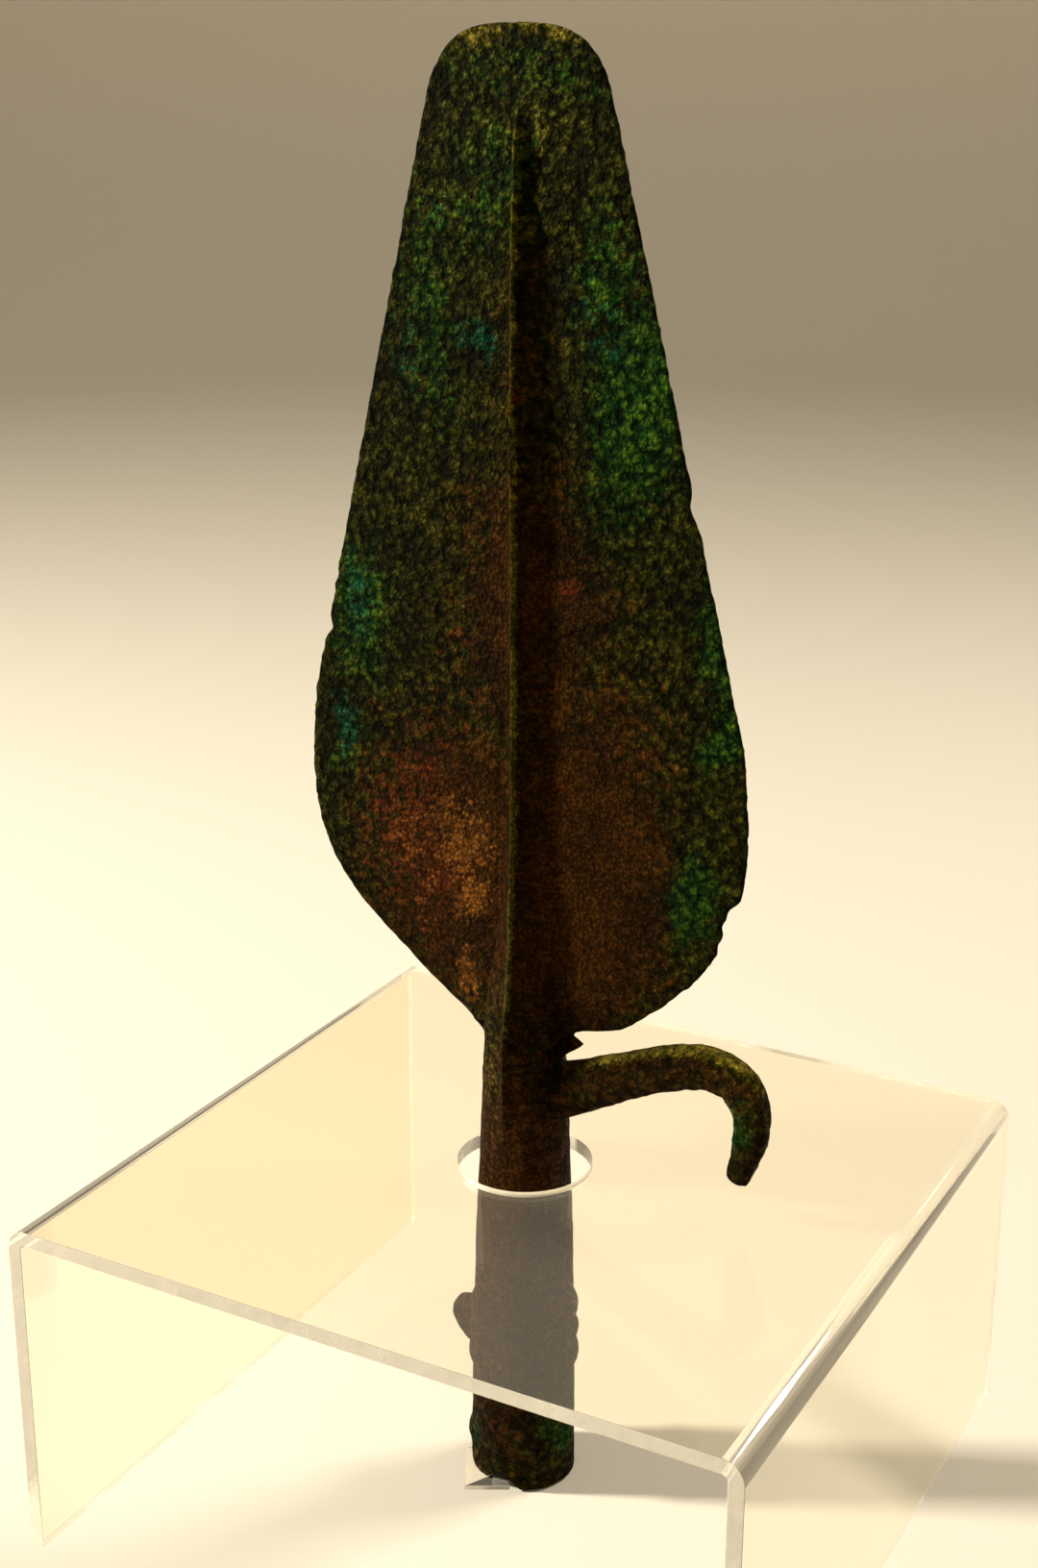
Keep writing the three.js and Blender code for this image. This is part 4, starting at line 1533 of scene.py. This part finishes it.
@dataclass
class SteppedShim:
    """A small clear pad with one step, under the worn side of the mouth."""

    chamfer: float = 0.25
    ease_from: float = 30.0
    merge_within: float = 0.02
    clearness: float = 0.85

    def build(self) -> bpy.types.Object:
        """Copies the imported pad, merged, and eases its edges.

        Returns:
            The finished piece.
        """
        shape = bmesh.new()
        shape.from_mesh(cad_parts["acrylic_shim"].data)
        bmesh.ops.remove_doubles(shape, verts=shape.verts, dist=self.merge_within * MM)
        bmesh.ops.dissolve_limit(shape, angle_limit=0.02, verts=shape.verts, edges=shape.edges)
        mesh = bpy.data.meshes.new("stepped_shim")
        shape.to_mesh(mesh)
        shape.free()
        shim = bpy.data.objects.new("stepped_shim", mesh)
        bpy.context.scene.collection.objects.link(shim)
        ease_edges(shim, self.chamfer, self.ease_from)
        shim.data.materials.clear()
        finish = ClearAcrylic(clearness=self.clearness)
        shim.data.materials.append(finish.material("clear_acrylic_pad"))
        let_light_pass(shim)
        return shim


# ---- The studio ---------------------------------------------------------------------------------


@dataclass(frozen=True)
class SoftLight:
    """A square soft light: where it stands, what it faces, its size, its power and its colour."""

    name: str
    position: tuple
    aim: tuple
    size: float
    power: float
    colour: tuple = (1.0, 0.92, 0.78)

    def hang(self) -> None:
        """Puts the light in the scene."""
        lamp = bpy.data.lights.new(self.name, "AREA")
        lamp.size, lamp.energy, lamp.color = self.size, self.power, self.colour
        light = bpy.data.objects.new(self.name, lamp)
        light.location = self.position
        beam = Vector(self.aim) - Vector(self.position)
        light.rotation_euler = beam.to_track_quat("-Z", "Y").to_euler()
        bpy.context.scene.collection.objects.link(light)


@dataclass(frozen=True)
class Studio:
    """A round pale floor that curves up into a wall, soft lights, and the camera."""

    floor_colour: tuple = (0.56, 0.53, 0.46)
    wall_colour: tuple = (0.86, 0.79, 0.66)
    floor_radius: float = 3.2
    wall_curve: float = 1.6
    wall_height: float = 3.4
    floor_sides: int = 96
    floor_rings: int = 4
    curve_rings: int = 14
    first_ring: float = 0.5
    floor_roughness: float = 0.85
    floor_shine: float = 0.2
    clearance: float = 0.0003  # keeps the floor's face apart from the faces that rest on it
    sky: tuple = (1.0, 0.82, 0.58, 1.0)
    sky_strength: float = 0.2
    lights: tuple = (
        SoftLight("key", (-1.8, -0.85, 1.6), (0, 0, 0.38), 0.2, 125.0),
        SoftLight("fill", (1.5, -1.9, 0.9), (0, 0, 0.3), 1.2, 6.0),
        SoftLight("rim", (0.9, 1.2, 1.9), (0, 0, 0.5), 0.6, 42.0),
    )
    eye: tuple = (0.3967, -0.7462, 0.6149)
    azimuth: float = 28.57
    tilt: float = 18.98
    roll: float = 0.233
    lens: float = 50.83
    sensor: float = 36.0
    sight: tuple = (0.05, 50.0)

    def floor(self) -> bpy.types.Object:
        """A dish: a flat disc, a quarter circle up at its edge, and a short round wall.

        Returns:
            The floor.
        """
        turn = np.linspace(0.0, QUARTER_TURN, self.curve_rings)[1:]
        radii = np.concatenate([
            np.linspace(self.first_ring, self.floor_radius, self.floor_rings),
            self.floor_radius + self.wall_curve * np.sin(turn),
            [self.floor_radius + self.wall_curve],
        ])
        curve = self.wall_curve * (1 - np.cos(turn))
        heights = np.concatenate([np.zeros(self.floor_rings), curve, [self.wall_height]])
        around = np.arange(self.floor_sides) / self.floor_sides * 4 * QUARTER_TURN
        x, y = radii[:, None] * np.cos(around), radii[:, None] * np.sin(around)
        z = np.broadcast_to((heights - self.clearance)[:, None], x.shape)
        points, faces = skin(np.stack([x, y, z], axis=-1))
        mesh = bpy.data.meshes.new("floor")
        mesh.from_pydata(points.tolist(), [], faces[: -self.floor_sides])
        made = bpy.data.objects.new("floor", mesh)
        bpy.context.scene.collection.objects.link(made)
        mesh.polygons.foreach_set("use_smooth", [True] * len(mesh.polygons))
        sheet = Sheet("pale_floor")
        up = sheet.add("SeparateXYZ", {0: sheet.place}).outputs["Z"]
        risen = sheet.window(up, 0.0, self.wall_curve)
        sheet.drive("Base Color", sheet.blend(risen, self.floor_colour, self.wall_colour))
        sheet.shader.inputs["Roughness"].default_value = self.floor_roughness
        sheet.shader.inputs["Specular IOR Level"].default_value = self.floor_shine
        mesh.materials.append(sheet.material)
        return made

    def camera(self) -> None:
        """Stands the camera at its eye point, turned, tilted down and rolled a little."""
        lens = bpy.data.cameras.new("camera")
        lens.sensor_width, lens.lens = self.sensor, self.lens
        lens.clip_start, lens.clip_end = self.sight
        camera = bpy.data.objects.new("camera", lens)
        turned = Matrix.Rotation(math.radians(self.azimuth), 4, "Z")
        tilted = Matrix.Rotation(math.radians(90.0 - self.tilt), 4, "X")
        rolled = Matrix.Rotation(math.radians(self.roll), 4, "Z")
        camera.matrix_world = Matrix.Translation(self.eye) @ turned @ tilted @ rolled
        bpy.context.scene.collection.objects.link(camera)
        bpy.context.scene.camera = camera

    def build(self) -> None:
        """Sets up the floor, the sky, the lights and the camera."""
        self.floor()
        world = bpy.data.worlds.new("soft_sky")
        world.use_nodes = True
        background = world.node_tree.nodes["Background"]
        background.inputs["Color"].default_value = self.sky
        background.inputs["Strength"].default_value = self.sky_strength
        bpy.context.scene.world = world
        for light in self.lights:
            light.hang()
        self.camera()
        bpy.context.scene.view_settings.view_transform = "Standard"


def main() -> None:
    """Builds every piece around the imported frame, in order."""
    logging.basicConfig(level=logging.INFO, format="%(message)s")
    head = SpearheadCasting(length=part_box("spearhead")[1].z / MM)
    casting = head.build(BarbHook(), SocketEar())
    casting.data.materials.clear()
    casting.data.materials.append(CorrodedBronze().material())
    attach(casting, "root")
    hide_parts("spearhead")
    LOG.info("casting: %d faces", len(casting.data.polygons))

    bridge = BridgeStand(hole_x=head.axis_x)
    stand = bridge.build()
    bridge.dress(stand)
    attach(stand, "root")
    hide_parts("acrylic_stand")
    LOG.info("stand: %d faces", len(stand.data.polygons))

    shim = SteppedShim().build()
    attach(shim, "root")
    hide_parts("acrylic_shim")
    LOG.info("shim: %d faces", len(shim.data.polygons))

    Studio().build()


if __name__ == "__main__":
    main()
